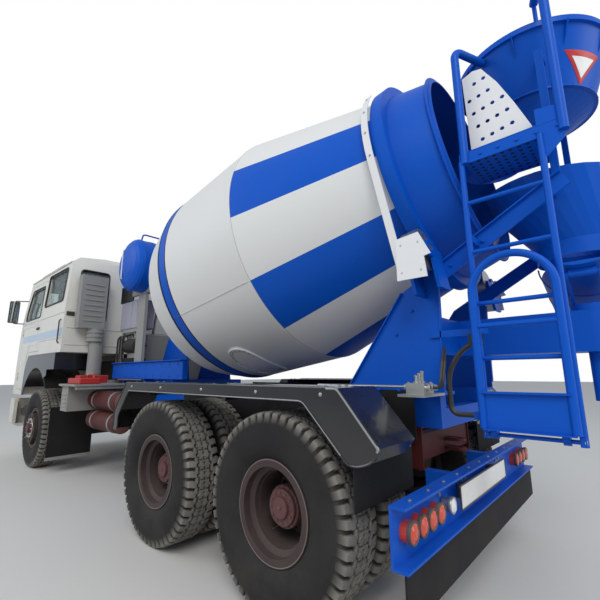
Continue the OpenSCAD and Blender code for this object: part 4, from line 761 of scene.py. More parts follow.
turn = np.linspace(0, 2 * np.pi, 72, endpoint=False)
oval = np.stack([hatch["t"] + hatch["halfT"] * np.sign(np.cos(turn)) * np.abs(np.cos(turn)) ** 0.8,
                 hatch["angle"] + hatch["halfAngle"] * np.sign(np.sin(turn)) * np.abs(np.sin(turn)) ** 0.8], 1)
middle = np.array([hatch["t"], hatch["angle"]])
piece("drumHatch", [badge(oval, [(1.06, -0.004), (1.06, 0.003), (1.05, 0.005), (0.99, 0.005), (0.985, 0.009),
                                 (0.97, 0.0105), (0.6, 0.0105), (0.3, 0.0105), (0.004, 0.0105)], onBarrel)],
      "drumPaint", "drum", (), 30)
# The bead round the hatch is whiter than the drum: painted highlight along the hatch's edge.
piece("hatchBead", [tube(onBarrel(oval[:, 0], oval[:, 1], 0.009), 0.009, 8, True)], "plateWhite", "drum")
ringPts = middle + 0.9 * (oval[::3] - middle)
headPts = onBarrel(ringPts[:, 0], ringPts[:, 1], 0.0105)
outward = unit(headPts - onDrum(0, ringPts[:, 1], ringPts[:, 0]))
piece("hatchBolts", [bolts(headPts, outward, 0.0075, 0.007)], "bareSteel", "drum")
weldT = np.linspace(-1.14, -0.01, 40)
wobble = 0.0011 * np.sin(np.arange(40) * 2.1)
longSeam = tube(onDrum(1.1355 + wobble, drum["seamAngle"], weldT), 0.0032, 8)
roundSeams = [tube(onDrum(r, np.linspace(0, 360, 144, endpoint=False), t), 0.0036, 6, True)
              for r, t in ((1.1345, -0.02), (1.1352, -1.15))]
piece("drumSeams", [longSeam] + roundSeams, "drumPaint", "drum")
blade = {"from": 0.55, "to": 1.49, "turns": 0.62, "height": 0.2, "thick": 0.008}


def bladeForm(start):  # ribbon square to the wall that winds along the neck
    s = np.linspace(0, 1, 90)
    t = blade["from"] + (blade["to"] - blade["from"]) * s
    cone = drum["barrelR"] - t * (drum["barrelR"] - drum["neckR"]) / drum["ringAt"]
    neck = drum["neckR"] - (t - drum["ringAt"]) * 0.25
    wall = np.where(t < drum["ringAt"], cone, neck) - skin["wall"] + 0.001
    inner = wall - blade["height"] * np.clip((1 - s) * 14, 0.25, 1)
    ang = start + 360 * blade["turns"] * s
    half = blade["thick"] / 2
    rows = [onDrum(r, ang, t + d) for r, d in ((wall, -half), (inner, -half), (inner - 0.004, 0), (inner, half),
                                               (wall, half))]
    verts, faces = grid(np.stack(rows, 1), closeV=True)
    return verts, faces + [list(range(5)), list(range(89 * 5, 90 * 5))[::-1]]


# The blades' lighter blue is painted light inside the drum's shaded mouth.
piece("mixingBlades", [bladeForm(20), bladeForm(200)], "bladePaint", "drum", (), 40)
print("drum trim made")

# Cab trim: seals round every window, drip rail, belt bead, grille, lamps, wipers, rear wall ribs. Outlines are
# (along, height) on the side walls and (across, height) on the front and rear walls.
cab = {"half": 1.21, "lean": 0.03, "leanFrom": 2.3, "leanOver": 0.66, "rear": 4.2, "seal": 0.013,
       "screenX": 6.6, "screenZ": 2.15, "screenLean": 0.309, "bandZ": (1.88, 1.93, 1.995),
       "berth": [(4.35, 2.4), (4.33, 2.89), (5.22, 2.9), (5.26, 2.4)],
       "door": [(5.44, 2.27), (5.44, 2.79), (6.16, 2.8), (6.32, 2.44), (6.34, 2.27)],
       "rearPane": [(0.66, 2.12), (0.66, 2.86), (1.05, 2.86), (1.05, 2.12)],
       "screen": [(-1.06, 2.23), (-0.98, 2.87), (0.98, 2.87), (1.06, 2.23)]}


def sideY(z):  # outer face of the cab's side wall, which leans in over the belt line
    return cab["half"] - cab["lean"] * np.clip((np.asarray(z, float) - cab["leanFrom"]) / cab["leanOver"], 0, 1)


def screenX(z):  # outer face of the windscreen wall
    return cab["screenX"] - (z - cab["screenZ"]) * cab["screenLean"]


def onSide(points, out=0.0):  # (along, height) carried onto the side wall
    return [at(x, float(sideY(z)) + out, z) for x, z in points]


def bandForm(rear, front):  # thin painted band on the side wall
    return [grid(np.array([[at(x, float(sideY(z)) + e, z) for z in cab["bandZ"]] for x, e in
                           ((rear, -0.002), (rear, 0.0009), (front, 0.0009), (front, -0.002))]), closeU=True)]


seals = [pipe(onSide(cab["berth"], 0.002), cab["seal"], 0.05, 8, True),
         pipe([at(cab["rear"] - 0.002, y, z) for y, z in cab["rearPane"]], cab["seal"], 0.05, 8, True)]
screenSeal = pipe([at(screenX(z) + 0.001, y, z) for y, z in cab["screen"]], 0.016, 0.07, 8, True)
piece("windowSeals", bothSides(seals) + [screenSeal], "hoseRubber", "cab")

beads = {"drip": [(6.31, 1.187, 2.963), (4.22, 1.187, 2.963), (4.2, 1.165, 2.963)],
         "brow": [(6.32, 1.17, 2.966), (6.335, 0, 2.966)], "belts": ((2.215, 0.007), (1.86, 0.006)),
         "backX": 4.197, "uprights": (0.12, 0.4), "levels": (1.76, 2.0), "roofZ": 3.122, "roofYs": (0.2, 0.55)}
beadForms = [bent(beads["drip"], 0.009), bent(beads["brow"], 0.009)]
beadForms += [bent([(4.21, 1.2125, z), (5.34, 1.2125, z)], r) for z, r in beads["belts"]]
beadForms += [bent([(beads["backX"], y, 1.76), (beads["backX"], y, 2.94)], 0.009) for y in beads["uprights"]]
beadForms += [bent([(beads["backX"], 1.17, z), (beads["backX"], 0, z)], 0.008) for z in beads["levels"]]
beadForms += [bent([(4.42, y, beads["roofZ"]), (6.15, y, beads["roofZ"])], 0.009) for y in beads["roofYs"]]
piece("cabBeads", bothSides(beadForms), "cabPaint", "cab")
piece("roofHatch", [box(5.0, -0.32, 3.12, 5.62, 0.32, 3.142, 0.008)], "cabPaint", "cab")

grille = {"barZs": np.arange(1.3, 1.74, 0.062), "x": 6.622,
          "corners": ((-0.68, 1.23), (0.68, 1.23), (0.68, 1.8), (-0.68, 1.8))}
bars = [box(6.612, -0.62, z, 6.634, 0.62, z + 0.03) for z in grille["barZs"]]
piece("grille", bars + [box(6.6195, -0.66, 1.25, 6.6235, 0.66, 1.78, 0.001)], "cabPlastic", "cab")
piece("grilleFrame", [bent([(grille["x"], y, z) for y, z in grille["corners"]], 0.01, 0.04, 8, True)],
      "bareSteel", "cab")

wiper = {"rows": (((6.6, -0.75, 2.17), (0.2, 2.62)), ((6.6, 0.2, 2.17), (0.98, 2.55))), "blade": (2.28, 2.84)}
wiperForms = []
for foot, (y, z) in wiper["rows"]:  # foot of the arm, and where its end lies on the glass
    low, high = wiper["blade"]
    wiperForms += [bent([foot, (6.62, foot[1] + 0.02, 2.19), (screenX(z) + 0.018, y, z)], 0.006),
                   bent([(screenX(low) + 0.012, y - 0.12, low), (screenX(high) + 0.012, y + 0.02, high)], 0.007,
                        0.02, 6)]
piece("wipers", wiperForms, "cabPlastic", "cab")

headlamp = {"x": 6.605, "y": 0.98, "z": 0.72, "r": 0.08}


def frontLens(x, y, z, r):  # round lamp that looks ahead
    profile = [(0.0005, 0.02), (r * 0.5, 0.017), (r * 0.85, 0.009), (r, 0.0), (r, -0.02), (0.0005, -0.02)]
    return lathe(profile, at(x, y, z), ezX, 40)


lampX, lampY, lampZ, lampR = (headlamp[k] for k in "xyzr")
piece("headlamps", bothSides([frontLens(lampX, lampY, lampZ, lampR)]), "lampClear")
piece("headlampRings", bothSides([torus(lampR + 0.006, 0.008, at(lampX + 0.007, lampY, lampZ), ezX, 48),
                                  disc(lampR + 0.004, -0.06, -0.015, at(lampX, lampY, lampZ), ezX, 40)]),
      "bareSteel")
piece("turnLamps", bothSides([box(6.612, 0.86, 1.3, 6.632, 1.02, 1.38, 0.006),
                              box(5.98, 1.229, 0.93, 6.06, 1.2345, 0.97, 0.002)]), "lampAmber", "cab")
grips = [box(4.182, 1.09, 2.165, 4.2, 1.19, 2.225, 0.006),
         bent([(4.32, 1.212, 1.78), (4.32, 1.233, 1.8), (4.32, 1.233, 2.1), (4.32, 1.212, 2.12)], 0.009)]
piece("cabHandles", bothSides(grips), "cabPlastic", "cab")
lining = [box(4.246, -1.16, 1.701, 4.256, 1.16, 2.08, 0.003), box(4.9, -1.1, 3.05, 6.1, 1.1, 3.075),
          box(4.26, -1.1, 1.702, 4.95, 1.1, 2.06, 0.02)]  # rear wall, roof and bunk
piece("cabLining", lining, "cabPlastic", "cab")

# Doors: the panel with its window cut through, a pane in a rubber seal, handle, decal and hinge knuckles.
door = {"outline": [(5.35, 1.715), (5.35, 2.86), (6.22, 2.88), (6.38, 2.5), (6.43, 2.18), (6.43, 1.11),
                    (6.02, 1.11), (6.02, 1.42), (5.89, 1.715)],
        "press": [(5.42, 1.82), (5.93, 1.82), (6.06, 1.52), (6.36, 1.52), (6.36, 2.14), (5.42, 2.14)],
        "bead": [(5.37, 2.215), (6.41, 2.215)], "depth": 0.04, "paneDepths": (0.028, 0.034),
        "hinges": (1.3, 2.05), "hingeX": 6.433, "hingeY": 1.224, "knuckle": 0.04}


def panelWithHole(outer, hole, depth):  # two outlines of equal point count, joined front, back and round both edges
    count = 96
    a = loopPoints(outer, count)
    b = loopPoints(hole, count)
    b = np.roll(b, -int(np.argmin(np.linalg.norm(b - a[0], axis=1))), 0)
    near = a * 0.2 + b * 0.8
    rows = [np.stack([loop[:, 0] + lastAxle, sideY(loop[:, 1]) - drop, loop[:, 1]], 1) for loop, drop in
            ((a, 0), (near, 0), (b, 0), (b, depth), (near, depth), (a, depth))]
    return grid(np.array(rows), closeU=True, closeV=True)


for name, side in (("Left", 1), ("Right", -1)):
    put = (lambda forms: forms) if side > 0 else (lambda forms: [mirrored(f) for f in forms])
    body = "door_" + name.lower()
    x, y, long = door["hingeX"], door["hingeY"], door["knuckle"]
    knuckles = []
    for z in door["hinges"]:
        knuckles += [rod(at(x, y, z), at(x, y, z + long), 0.0118, 16),
                     box(x - 0.04, 1.206, z, x, 1.2235, z + long, 0.003)]
    panel = [panelWithHole(door["outline"], cab["door"], door["depth"]),
             pipe(onSide(door["press"], 0.0005), 0.005, 0.05, 8, True),
             pipe(onSide(door["bead"], 0.001), 0.006, 0.02, 8)]
    piece("doorPanel" + name, put(panel + knuckles), "cabPaint", body, (body,), 25)
    pane = loopPoints(cab["door"], 60)
    faces = [np.stack([pane[:, 0] + lastAxle, sideY(pane[:, 1]) - d, pane[:, 1]], 1) for d in door["paneDepths"]]
    middle = [r.mean(0) + 0.002 * (r - r.mean(0)) for r in faces]
    piece("doorPane" + name, put([grid(np.array([middle[0], faces[0], faces[1], middle[1]]), closeV=True)]),
          "glass", body)
    seal = [pipe(onSide(cab["door"], -0.0005), 0.011, 0.05, 8, True),
            box(5.4, 1.209, 2.06, 5.54, 1.228, 2.1, 0.006),
            rod(at(5.43, 1.205, 2.08), at(5.43, 1.225, 2.08), 0.016, 16)]  # with the handle and its lock
    piece("doorSeal" + name, put(seal), "hoseRubber", body)
    piece("doorBand" + name, put(bandForm(5.36, 6.42)), "doorDecal", body)
piece("cabBand", bothSides(bandForm(4.215, 5.338)), "doorDecal", "cab")

# Mirrors: rounded housings on bent arms, with a glass set in the back.
mirror = {"x": 6.51,
          "outline": [(1.305, 2.255), (1.445, 2.255), (1.45, 2.27), (1.45, 2.63), (1.445, 2.645), (1.305, 2.645),
                      (1.3, 2.63), (1.3, 2.27)],
          "rows": [(0.97, 0.0), (1.0, 0.008), (1.0, 0.03), (0.96, 0.044), (0.7, 0.049), (0.005, 0.05)],
          "arm": [(6.5, 1.2, 2.25), (6.535, 1.3, 2.25), (6.535, 1.37, 2.25), (6.535, 1.37, 2.66),
                  (6.535, 1.3, 2.66), (6.44, 1.19, 2.66)],
          "glass": (6.5085, 1.313, 2.268, 6.5125, 1.437, 2.632)}
housing = badge(loopPoints(mirror["outline"], 64), mirror["rows"],
                lambda y, z, lift: np.stack([np.full_like(y, mirror["x"] + lastAxle) + lift, y, z], 1))
piece("mirrorShells", bothSides([housing, bent(mirror["arm"], 0.009, 0.03, 10)]), "cabPlastic", "cab", ("mirrors",))
piece("mirrorPanes", bothSides([box(*mirror["glass"], 0.001)]), "mirrorSilver", "cab")
print("cab made")

# Seats: padded cushions and backs over a plain base, each crowned with sewn channels.
seat = {"base": (5.26, 0.36, 1.7, 5.74, 0.84, 1.955), "fill": 0.6, "channels": 5,
        "pads": (("seatCushion", (5.24, 0.352, 1.945), (5.738, 0.848, 2.098)),
                 ("seatBack", (5.102, 0.352, 2.0), (5.236, 0.848, 2.698)))}


def pillow(low, high, along, channels, power=0.28):  # superellipsoid whose faces swell, grooved across one axis
    low, high = at(*low), at(*high)
    mid, half = (low + high) / 2, (high - low) / 2
    u = np.linspace(-np.pi / 2, np.pi / 2, 41)[:, None]
    v = np.linspace(0, 2 * np.pi, 96, endpoint=False)[None, :]
    curve = lambda c: np.sign(c) * np.abs(c) ** power
    p = np.stack([curve(np.cos(u)) * curve(np.cos(v)), curve(np.cos(u)) * curve(np.sin(v)),
                  curve(np.sin(u)) + 0 * v], -1)
    groove = np.exp(-(((p[..., along] * channels / 2 + 0.5 * (channels % 2)) % 1 - 0.5) / 0.09) ** 2)
    thin = min((k for k in range(3) if k != along), key=lambda k: half[k])
    p[..., thin] *= 1 - 0.09 * groove * (np.abs(p[..., thin]) > 0.5)
    waist = 1 - 0.03 * (np.abs(p[..., thin]) < 0.3)
    for k in range(3):
        if k != thin:
            p[..., k] *= waist
    return grid(mid + p * half, closeV=True)


for name, side in (("Left", 1), ("Right", -1)):
    put = (lambda form: form) if side > 0 else mirrored
    for part, low, high in seat["pads"]:
        pad = piece(part + name, [put(pillow(low, high, 1, seat["channels"]))], "seatCloth", "cab", ("seats",), 60)
    piece("seatBase" + name, [put(box(*seat["base"], 0.015))], "cabPlastic", "cab", ("seats",))
print("seats made")

# Charging hopper: rolled rim, gussets, shoulder bolts and a blank three-cornered sign.
hopper = {"middle": -1.38, "neckZ": 3.05, "neckR": 0.332, "rise": 0.38, "spread": 0.13, "rim": (0.4615, 3.433),
          "boltRing": (0.347, 3.06), "gussets": 10, "gussetZ": (3.27, 3.398), "gussetOut": 0.034,
          "gussetThick": 0.006, "signAngle": 145.0, "signZ": 3.165,
          "sign": (("signBorder", 19.0, 0.088, 0.0, "signRed"), ("signFace", 12.0, 0.054, 0.0015, "plateWhite"))}


def levelRing(angle, radius, z):  # points about the hopper's upright axis, angles from ahead to the left
    a = np.radians(angle)
    return np.stack([hopper["middle"] + lastAxle + radius * np.cos(a), radius * np.sin(a), z + 0 * a], -1)


def onHopper(angle, z, lift=0.0):  # point of the hopper's sloping wall
    z = np.asarray(z, float)
    return levelRing(angle, hopper["neckR"] + (z - hopper["neckZ"]) / hopper["rise"] * hopper["spread"] + lift, z)


def signLoop(spread, drop):  # triangle that stands on its point, as (angle, height)
    angle, z = hopper["signAngle"], hopper["signZ"]
    return [(angle - spread, z + drop), (angle + spread, z + drop), (angle, z - drop * 1.15)]


round96 = np.arange(96) / 96 * 360
hopperForms = [tube(levelRing(round96, *hopper["rim"]), 0.008, 8, True)]
for ang in 18 + 360 / hopper["gussets"] * np.arange(hopper["gussets"]):
    low, high = (onHopper(ang, z, -0.002) for z in hopper["gussetZ"])
    out = onHopper(ang, hopper["gussetZ"][1], hopper["gussetOut"])
    flat = np.array([-math.sin(math.radians(ang)), math.cos(math.radians(ang)), 0]) * hopper["gussetThick"]
    hopperForms.append(prism([low - flat / 2, high - flat / 2, out - flat / 2], flat))
piece("hopperTrim", hopperForms, "bluePaint")
piece("hopperBolts", [bolts(levelRing(round96[::6], *hopper["boltRing"]), ezZ, 0.007, 0.007)], "bluePaint")
for name, spread, drop, lift, paint in hopper["sign"]:
    rows = [(1.0, lift - 0.004), (1.0, lift + 0.0015), (0.985, lift + 0.0022), (0.6, lift + 0.0022),
            (0.004, lift + 0.0022)]
    piece(name, [badge(loopPoints(signLoop(spread, drop), 60), rows, onHopper)], paint)

# The platform's floor is punched in rows; each hole is drawn as a dark cup with a raised rim, the dark being
# painted shade in place of an opening.
floorPlate = {"top": 2.5845, "under": 2.5775, "along": (-1.45, -1.11, 9), "across": (0.335, 0.61, 7),
              "cup": [(0.0004, 0.0006), (0.0105, 0.0006), (0.012, 0.0022), (0.0145, 0.0022), (0.016, -0.0005)]}
holes = [(x, y) for x in np.linspace(*floorPlate["along"]) for y in np.linspace(*floorPlate["across"])]
cups = [lathe(floorPlate["cup"], at(x, y, floorPlate["top"]), ezZ, 10) for x, y in holes]
under = [disc(0.0105, 0.0, 0.001, at(x, y, floorPlate["under"]), ezZ, 10) for x, y in holes]
piece("floorHoles", cups + under, "darkHole")

# Ladder: clamp bolts, a rolled toe board, heads of the fold's pins, a step and a catch on the folding part.
ladder = {"clamps": (1.58, 2.11), "toeBolts": np.linspace(-1.55, -1.08, 6), "pin": (0.664, 1.034)}
clamp = []
for z in ladder["clamps"]:
    clamp.append(heads([(-1.065, 0.574, z + 0.0205), (-1.065, 0.53, z + 0.0205)], ezZ, 0.008, 0.007))
    clamp.append(heads([(-1.0495, 0.55, z), (-1.0495, 0.6, z)], ezX, 0.008, 0.007))
clamp.append(heads([(x, 0.6445, 2.605) for x in ladder["toeBolts"]], ezY, 0.008, 0.006))
clamp.append(bent([(-1.575, 0.6405, 2.642), (-1.06, 0.6405, 2.642)], 0.0055))
piece("ladderFittings", clamp, "bluePaint")
piece("foldPinHeads", [heads([(x, *ladder["pin"])], way * ezX, 0.0105, 0.008) for x, way in
                       ((-1.062, 1), (-1.4755, -1))], "bareSteel")
step = strip(pts(*[(x, 0.7195, 1.247) for x in (-1.4445, -1.26, -1.0775)]), -ezY, 0.022, 0.005)
catch = rod(at(-1.26, 0.691, 1.59), at(-1.26, 0.705, 1.59), 0.012, 14)
piece("foldTrim", [step, catch], "bluePaint", "ladder_lower")

# Rising beams: flanges along the edges, bolts through foot and cross plate, and those of the ring guard.
beam = {"top": [(-0.7, 1.9585), (-1.11, 2.19), (-1.52, 2.419)],
        "front": [(-0.122, 1.272), (-0.34, 1.5755), (-0.558, 1.878)],
        "back": [(-0.802, 1.272), (-0.806, 1.58), (-0.812, 1.89)], "y": 0.486,
        "footXs": (-0.2, -0.35, -0.5, -0.65),
        "plate": ((-0.74, 1.86), (-0.9, 2.01), (-1.1, 2.12), (-0.62, 1.75), (-0.5, 1.6)),
        "cover": ((-0.72, 2.1), (-0.83, 2.1), (-0.72, 1.93), (-0.84, 1.93)),
        "guardAngles": (55, 68, 82, 94), "guardR": 0.879, "guardT": 1.141}
flange, front, back = (strip(pts(*[(x, beam["y"], z) for x, z in beam[edge]]), ezY, width, 0.008)
                       for edge, width in (("top", 0.034), ("front", 0.034), ("back", 0.03)))
piece("beamFlanges", bothSides([front, back]) + [flange], "bluePaint")
piece("beamBolts", bothSides([heads([(x, 0.507, 1.235) for x in beam["footXs"]], ezY, 0.01, 0.009),
                              heads([(x, 0.501, z) for x, z in beam["plate"]], ezY, 0.01, 0.009)]), "bluePaint")
guardHeads, inside = (np.array([onDrum(r, ang, beam["guardT"]) for ang in beam["guardAngles"]])
                      for r in (beam["guardR"], 0))
piece("guardBolts", bothSides([bolts(guardHeads, unit(guardHeads - inside), 0.007, 0.006),
                               heads([(x, 0.8085, z) for x, z in beam["cover"]], ezY, 0.008, 0.007)]), "bareSteel")

# Chute: rolled edges along the trough and its folding end, grab handle, bolts round the post.
chutePose = {"x": -1.53, "y": 0.2, "z": 1.9, "slope": math.radians(22), "rim": 0.295,
             "troughR": 0.2675, "lidR": 0.2165, "ribs": (-0.62, -0.3)}


def onChute(x, along, up):  # the trough's frame: along it from its hinge, up square to it
    x, along, up = np.broadcast_arrays(np.asarray(x, float), along, up)
    c, s = math.cos(chutePose["slope"]), math.sin(chutePose["slope"])
    return np.stack([chutePose["x"] + lastAxle + x, chutePose["y"] + along * c - up * s,
                     chutePose["z"] + along * s + up * c], -1)


def hoop(across, along, middle, rise):  # half round across the trough
    nose = np.radians(np.linspace(4, 176, 40))
    return onChute(across * np.cos(nose), along, middle + rise * np.sin(nose))


rim, troughR, lidR = chutePose["rim"], chutePose["troughR"], chutePose["lidR"]
reach = np.linspace(-0.49, -1.015, 12)
edges = [tube(onChute(s * 0.2665, reach, rim - 0.002), 0.007, 8) for s in (-1, 1)]
edges.append(tube(hoop(troughR, -1.0175, rim, -troughR), 0.0055, 8))
ribs = [tube(hoop(troughR + 0.002, y, rim, -troughR - 0.002), 0.0055, 6) for y in chutePose["ribs"]]
piece("chuteEdges", edges + ribs, "bluePaint", "chute", (), 50)
over = np.linspace(-0.985, -0.562, 12)
lidEdges = [tube(onChute(s * lidR, over, rim + 0.008), 0.0055, 8) for s in (-1, 1)]
lidEdges.append(tube(hoop(lidR, -0.5605, rim + 0.003, lidR - 0.002), 0.005, 8))
grab = tube(filleted(onChute([-0.06, -0.06, 0.06, 0.06], -0.62, [0.507, 0.545, 0.545, 0.507]), 0.02), 0.007, 8)
piece("chuteEndEdges", lidEdges + [grab], "bluePaint", "chute_extension", (), 50)
piece("postBolts", [bolts(ringOf(8, 0.09, at(-1.53, 0, 1.7401), ezZ, 0.2), ezZ, 0.008, 0.008)], "bluePaint",
      "chute_swivel")

# Valve bank: levers' knobs, caps, pipe unions and a plate with four bolts.
bank = {"ys": [0.665 + 0.04 * k for k in range(3)], "x": -0.735, "top": 1.285, "knobTop": 1.345, "knobStep": 0.012,
        "knob": [(0.0005, -0.008), (0.009, -0.006), (0.0125, 0.0), (0.012, 0.009), (0.006, 0.0135),
                 (0.0005, 0.014)]}
valveForms = []
for k, y in enumerate(bank["ys"]):
    valveForms += [lathe(bank["knob"], at(bank["x"], y, bank["knobTop"] - bank["knobStep"] * k), ezZ, 16),
                   disc(0.0165, 0.0, 0.012, at(bank["x"], y, bank["top"]), ezZ, 6, 0.1),
                   disc(0.0135, 0.0, 0.022, at(-0.68, y, 1.265), ezX, 6, 0.1),
                   disc(0.019, 0.0, 0.012, at(-0.818, y, 1.261), ezX, 6, 0.1)]
valveForms.append(box(-0.786, 0.646, 1.2845, -0.684, 0.764, 1.2875, 0.001))
valveForms.append(heads([(x, y, 1.2875) for x in (-0.778, -0.692) for y in (0.652, 0.758)], ezZ, 0.006, 0.006))
piece("valveTrim", valveForms, "bareSteel")
lines = [bent([(-0.815, y, 1.261), (-0.85, y, 1.261), (-0.86, y, 1.3), (-0.86, y - 0.05, 1.42),
               (-0.82, 0.505, 1.5)], 0.0075, 0.035, 10) for y in bank["ys"][:2]]
piece("valveLines", lines, "hoseRubber")
print("rear works made")


# Bands round a tank between two radii, one for each row of place along the axis, half width and width at the foot.
def hoopBand(low, high, place, axis, rows, segs=72):
    return [lathe([(low, y - out), (high, y - half), (high, y + half), (low, y + out)], place, axis, segs)
            for y, half, out in rows]


# Water tank: steel straps, top rail, filler cap, level tube and the pipe below.
tankAt = {"place": at(3.15, 0, 2.78), "straps": (-0.59, 0.59), "seams": (-0.75, 0.0, 0.75),
          "rail": [(3.15, 0.38, 3.125), (3.15, 0.4, 3.24), (3.15, 0.66, 3.24), (3.15, 0.68, 3.125)],
          "filler": [(0.0005, 0.05), (0.07, 0.048), (0.085, 0.04), (0.088, 0.02), (0.075, 0.015), (0.075, -0.02)],
          "level": [(3.22, 0.868, 2.58), (3.22, 0.878, 2.6), (3.22, 0.878, 2.96), (3.22, 0.868, 2.98)],
          "pipe": [(3.15, 0.3, 2.44), (3.15, 0.3, 2.38), (3.3, 0.3, 2.3), (3.4, 0.3, 1.9)]}
tankForms = hoopBand(0.3502, 0.3548, tankAt["place"], ezY, [(y, 0.024, 0.024) for y in tankAt["straps"]])
tankForms += hoopBand(0.3499, 0.3532, tankAt["place"], ezY, [(y, 0.003, 0.006) for y in tankAt["seams"]])
tankForms += [bent(tankAt["rail"], 0.011, 0.04, 10), lathe(tankAt["filler"], at(3.15, -0.2, 3.13), ezZ, 40)]
piece("tankTrim", tankForms, "bluePaint")
piece("levelTube", [bent(tankAt["level"], 0.008, 0.01, 10)], "lampClear")
piece("tankPipe", [bent(tankAt["pipe"], 0.017, 0.05, 12)], "greyPaint")

# Power pack: oil tank, black bracket, finned motor and hoses behind the cab.
pack = {"tank": (3.25, 0.36, 1.951, 3.8, 0.6, 2.36), "ribPitch": 0.155, "finPitch": 0.036, "fins": 11,
        "motor": at(3.3, 0.52, 1.73), "shaft": at(3.64, 0.52, 1.73), "hoses": 3}
x0, _, z0, _, y1, z1 = pack["tank"]
oil = [box(*pack["tank"], 0.02), disc(0.035, 0, 0.03, at(3.7, 0.48, z1), ezZ, 24)]
for k in range(4):
    x = x0 + 0.04 + k * pack["ribPitch"]
    oil.append(bent([(x, y1 + 0.001, z0 + 0.03), (x, y1 + 0.001, z1 - 0.03)], 0.006, 0.02, 6))
piece("oilTank", oil, "boxPaint")
piece("packBracket", [box(3.46, 0.575, 2.355, 3.86, 0.595, 2.6), box(3.46, 0.5, 2.585, 3.86, 0.595, 2.6, 0.003)],
      "blackPaint")
finXs = 3.27 + pack["finPitch"] * np.arange(pack["fins"])
fins = [box(x, 0.44, 1.33, x + 0.015, 0.605, 1.56, 0.003) for x in finXs]
motor = [disc(0.1, 0, 0.34, pack["motor"], ezX, 32), disc(0.07, 0, 0.1, pack["shaft"], ezX, 24),
         bolts(ringOf(8, 0.085, pack["motor"], ezX), -ezX, 0.008, 0.01)]
piece("packMotor", fins + motor, "gearIron")
hoses = [bent([(3.66 - k * 0.1, 0.52, 1.8), (3.66 - k * 0.1, 0.545, 1.9), (3.78 - k * 0.08, 0.62, 1.86),
               (3.78 - k * 0.08, 0.62, 1.5), (3.5 - k * 0.1, 0.6, 1.36)], 0.013, 0.06, 10)
         for k in range(pack["hoses"])]
piece("packHoses", hoses, "hoseRubber")

# A blue sill runs along the left rail from the power pack to the drum's front stand.
sillAt = {"feet": (2.3, 3.0, 3.6), "boltXs": np.linspace(2.1, 3.78, 10), "boltZs": (1.32, 1.455)}
sill = [box(2.0, 0.56, 1.285, 3.86, 0.625, 1.49, 0.006), box(2.0, 0.54, 1.49, 3.86, 0.65, 1.503, 0.003)]
sill += [box(x, 0.43, 1.22, x + 0.04, 0.565, 1.46) for x in sillAt["feet"]]
sill += [heads([(x, 0.6245, z) for x in sillAt["boltXs"] for z in sillAt["boltZs"]], ezY, 0.009, 0.007)]
piece("powerSill", sill, "bluePaint")

# Dark sheets inboard of the rear wheels, under the fenders: painted shade, closing the space that lies in shade
# there.
piece("wheelLiners", bothSides([box(-0.6, 0.5, 0.93, 2.14, 0.506, 1.235, 0.001)]), "rubberSheet")

# Air tanks, battery box, intake: bands, caps, clamps and the red base of the intake.
air = {"y": 0.83, "zs": (0.77, 1.02), "bands": (3.08, 3.62), "ends": ((3.77, 1), (2.93, -1)),
       "cap": [(0.0005, 0.028), (0.045, 0.026), (0.085, 0.017), (0.108, 0.004), (0.1145, -0.012),
               (0.0005, -0.012)]}
bands = [form for x in air["bands"] for z in air["zs"]
         for form in hoopBand(0.1148, 0.1182, at(0, air["y"], z), ezX, [(x, 0.02, 0.02)], 48)]
caps = [lathe(air["cap"], at(x, air["y"], z), d * ezX, 40) for x, d in air["ends"] for z in air["zs"]]
piece("airTankCaps", caps, "airRed")
piece("airTankBands", bands, "wornSteel")
redBase = [box(3.955, 0.64, 1.226, 4.155, 1.005, 1.334, 0.008), box(3.5, 0.9, 1.2255, 3.95, 1.15, 1.3, 0.01),
           bent([(3.6, 0.95, 1.3), (3.62, 0.95, 1.34), (3.8, 0.95, 1.34), (3.82, 0.95, 1.3)], 0.012)]
piece("intakeBase", redBase, "brightRed")
intake = {"clipZs": (1.345, 1.36, 1.77, 1.785), "clipBolts": (1.352, 1.778), "louvres": 8, "pitch": 0.075,
          "edgeZs": (1.992, 2.744), "ribXs": (4.02, 4.065, 4.11)}
clips = [torus(0.0925, 0.005, at(4.068, 0.805, z), ezZ, 48, 6) for z in intake["clipZs"]]
clips.append(heads([(4.068, 0.9, z) for z in intake["clipBolts"]], ezY, 0.006, 0.012))
piece("intakeClips", clips, "bareSteel")


def slats(count, pitch, near, far, shift):  # leaning slats, from the rows of the first one's two long edges
    lift = np.array([0, 0, pitch])
    return [prism(pts(*near, *far[::-1]) + k * lift, shift) for k in range(count)]


louvres = slats(intake["louvres"], intake["pitch"], ((3.9905, 0.79, 2.1), (3.9905, 1.04, 2.1)),
                ((3.978, 0.79, 2.085), (3.978, 1.04, 2.085)), (0, 0, 0.006))
boxEdge = [bent([(3.992, 0.745, z), (3.992, 1.087, z), (4.138, 1.087, z), (4.138, 0.745, z)], 0.006, 0.02, 8,
                True) for z in intake["edgeZs"]]
sideRibs = [bent([(x, 1.0905, 2.02), (x, 1.0905, 2.715)], 0.006) for x in intake["ribXs"]]
piece("intakeRibs", louvres + boxEdge + sideRibs, "greyPaint")
lidGrips = [bent([(x, 1.2005, 1.205), (x, 1.216, 1.2), (x + 0.08, 1.216, 1.2), (x + 0.08, 1.2005, 1.205)],
                 0.005, 0.01, 8) for x in (3.7, 3.9)]
vents = slats(4, 0.05, ((3.86, 1.1705, 0.95), (4.02, 1.1705, 0.95)), ((3.86, 1.18, 0.937), (4.02, 1.18, 0.937)),
              (0, 0, 0.004))
piece("batteryTrim", lidGrips + vents, "greyPaint")

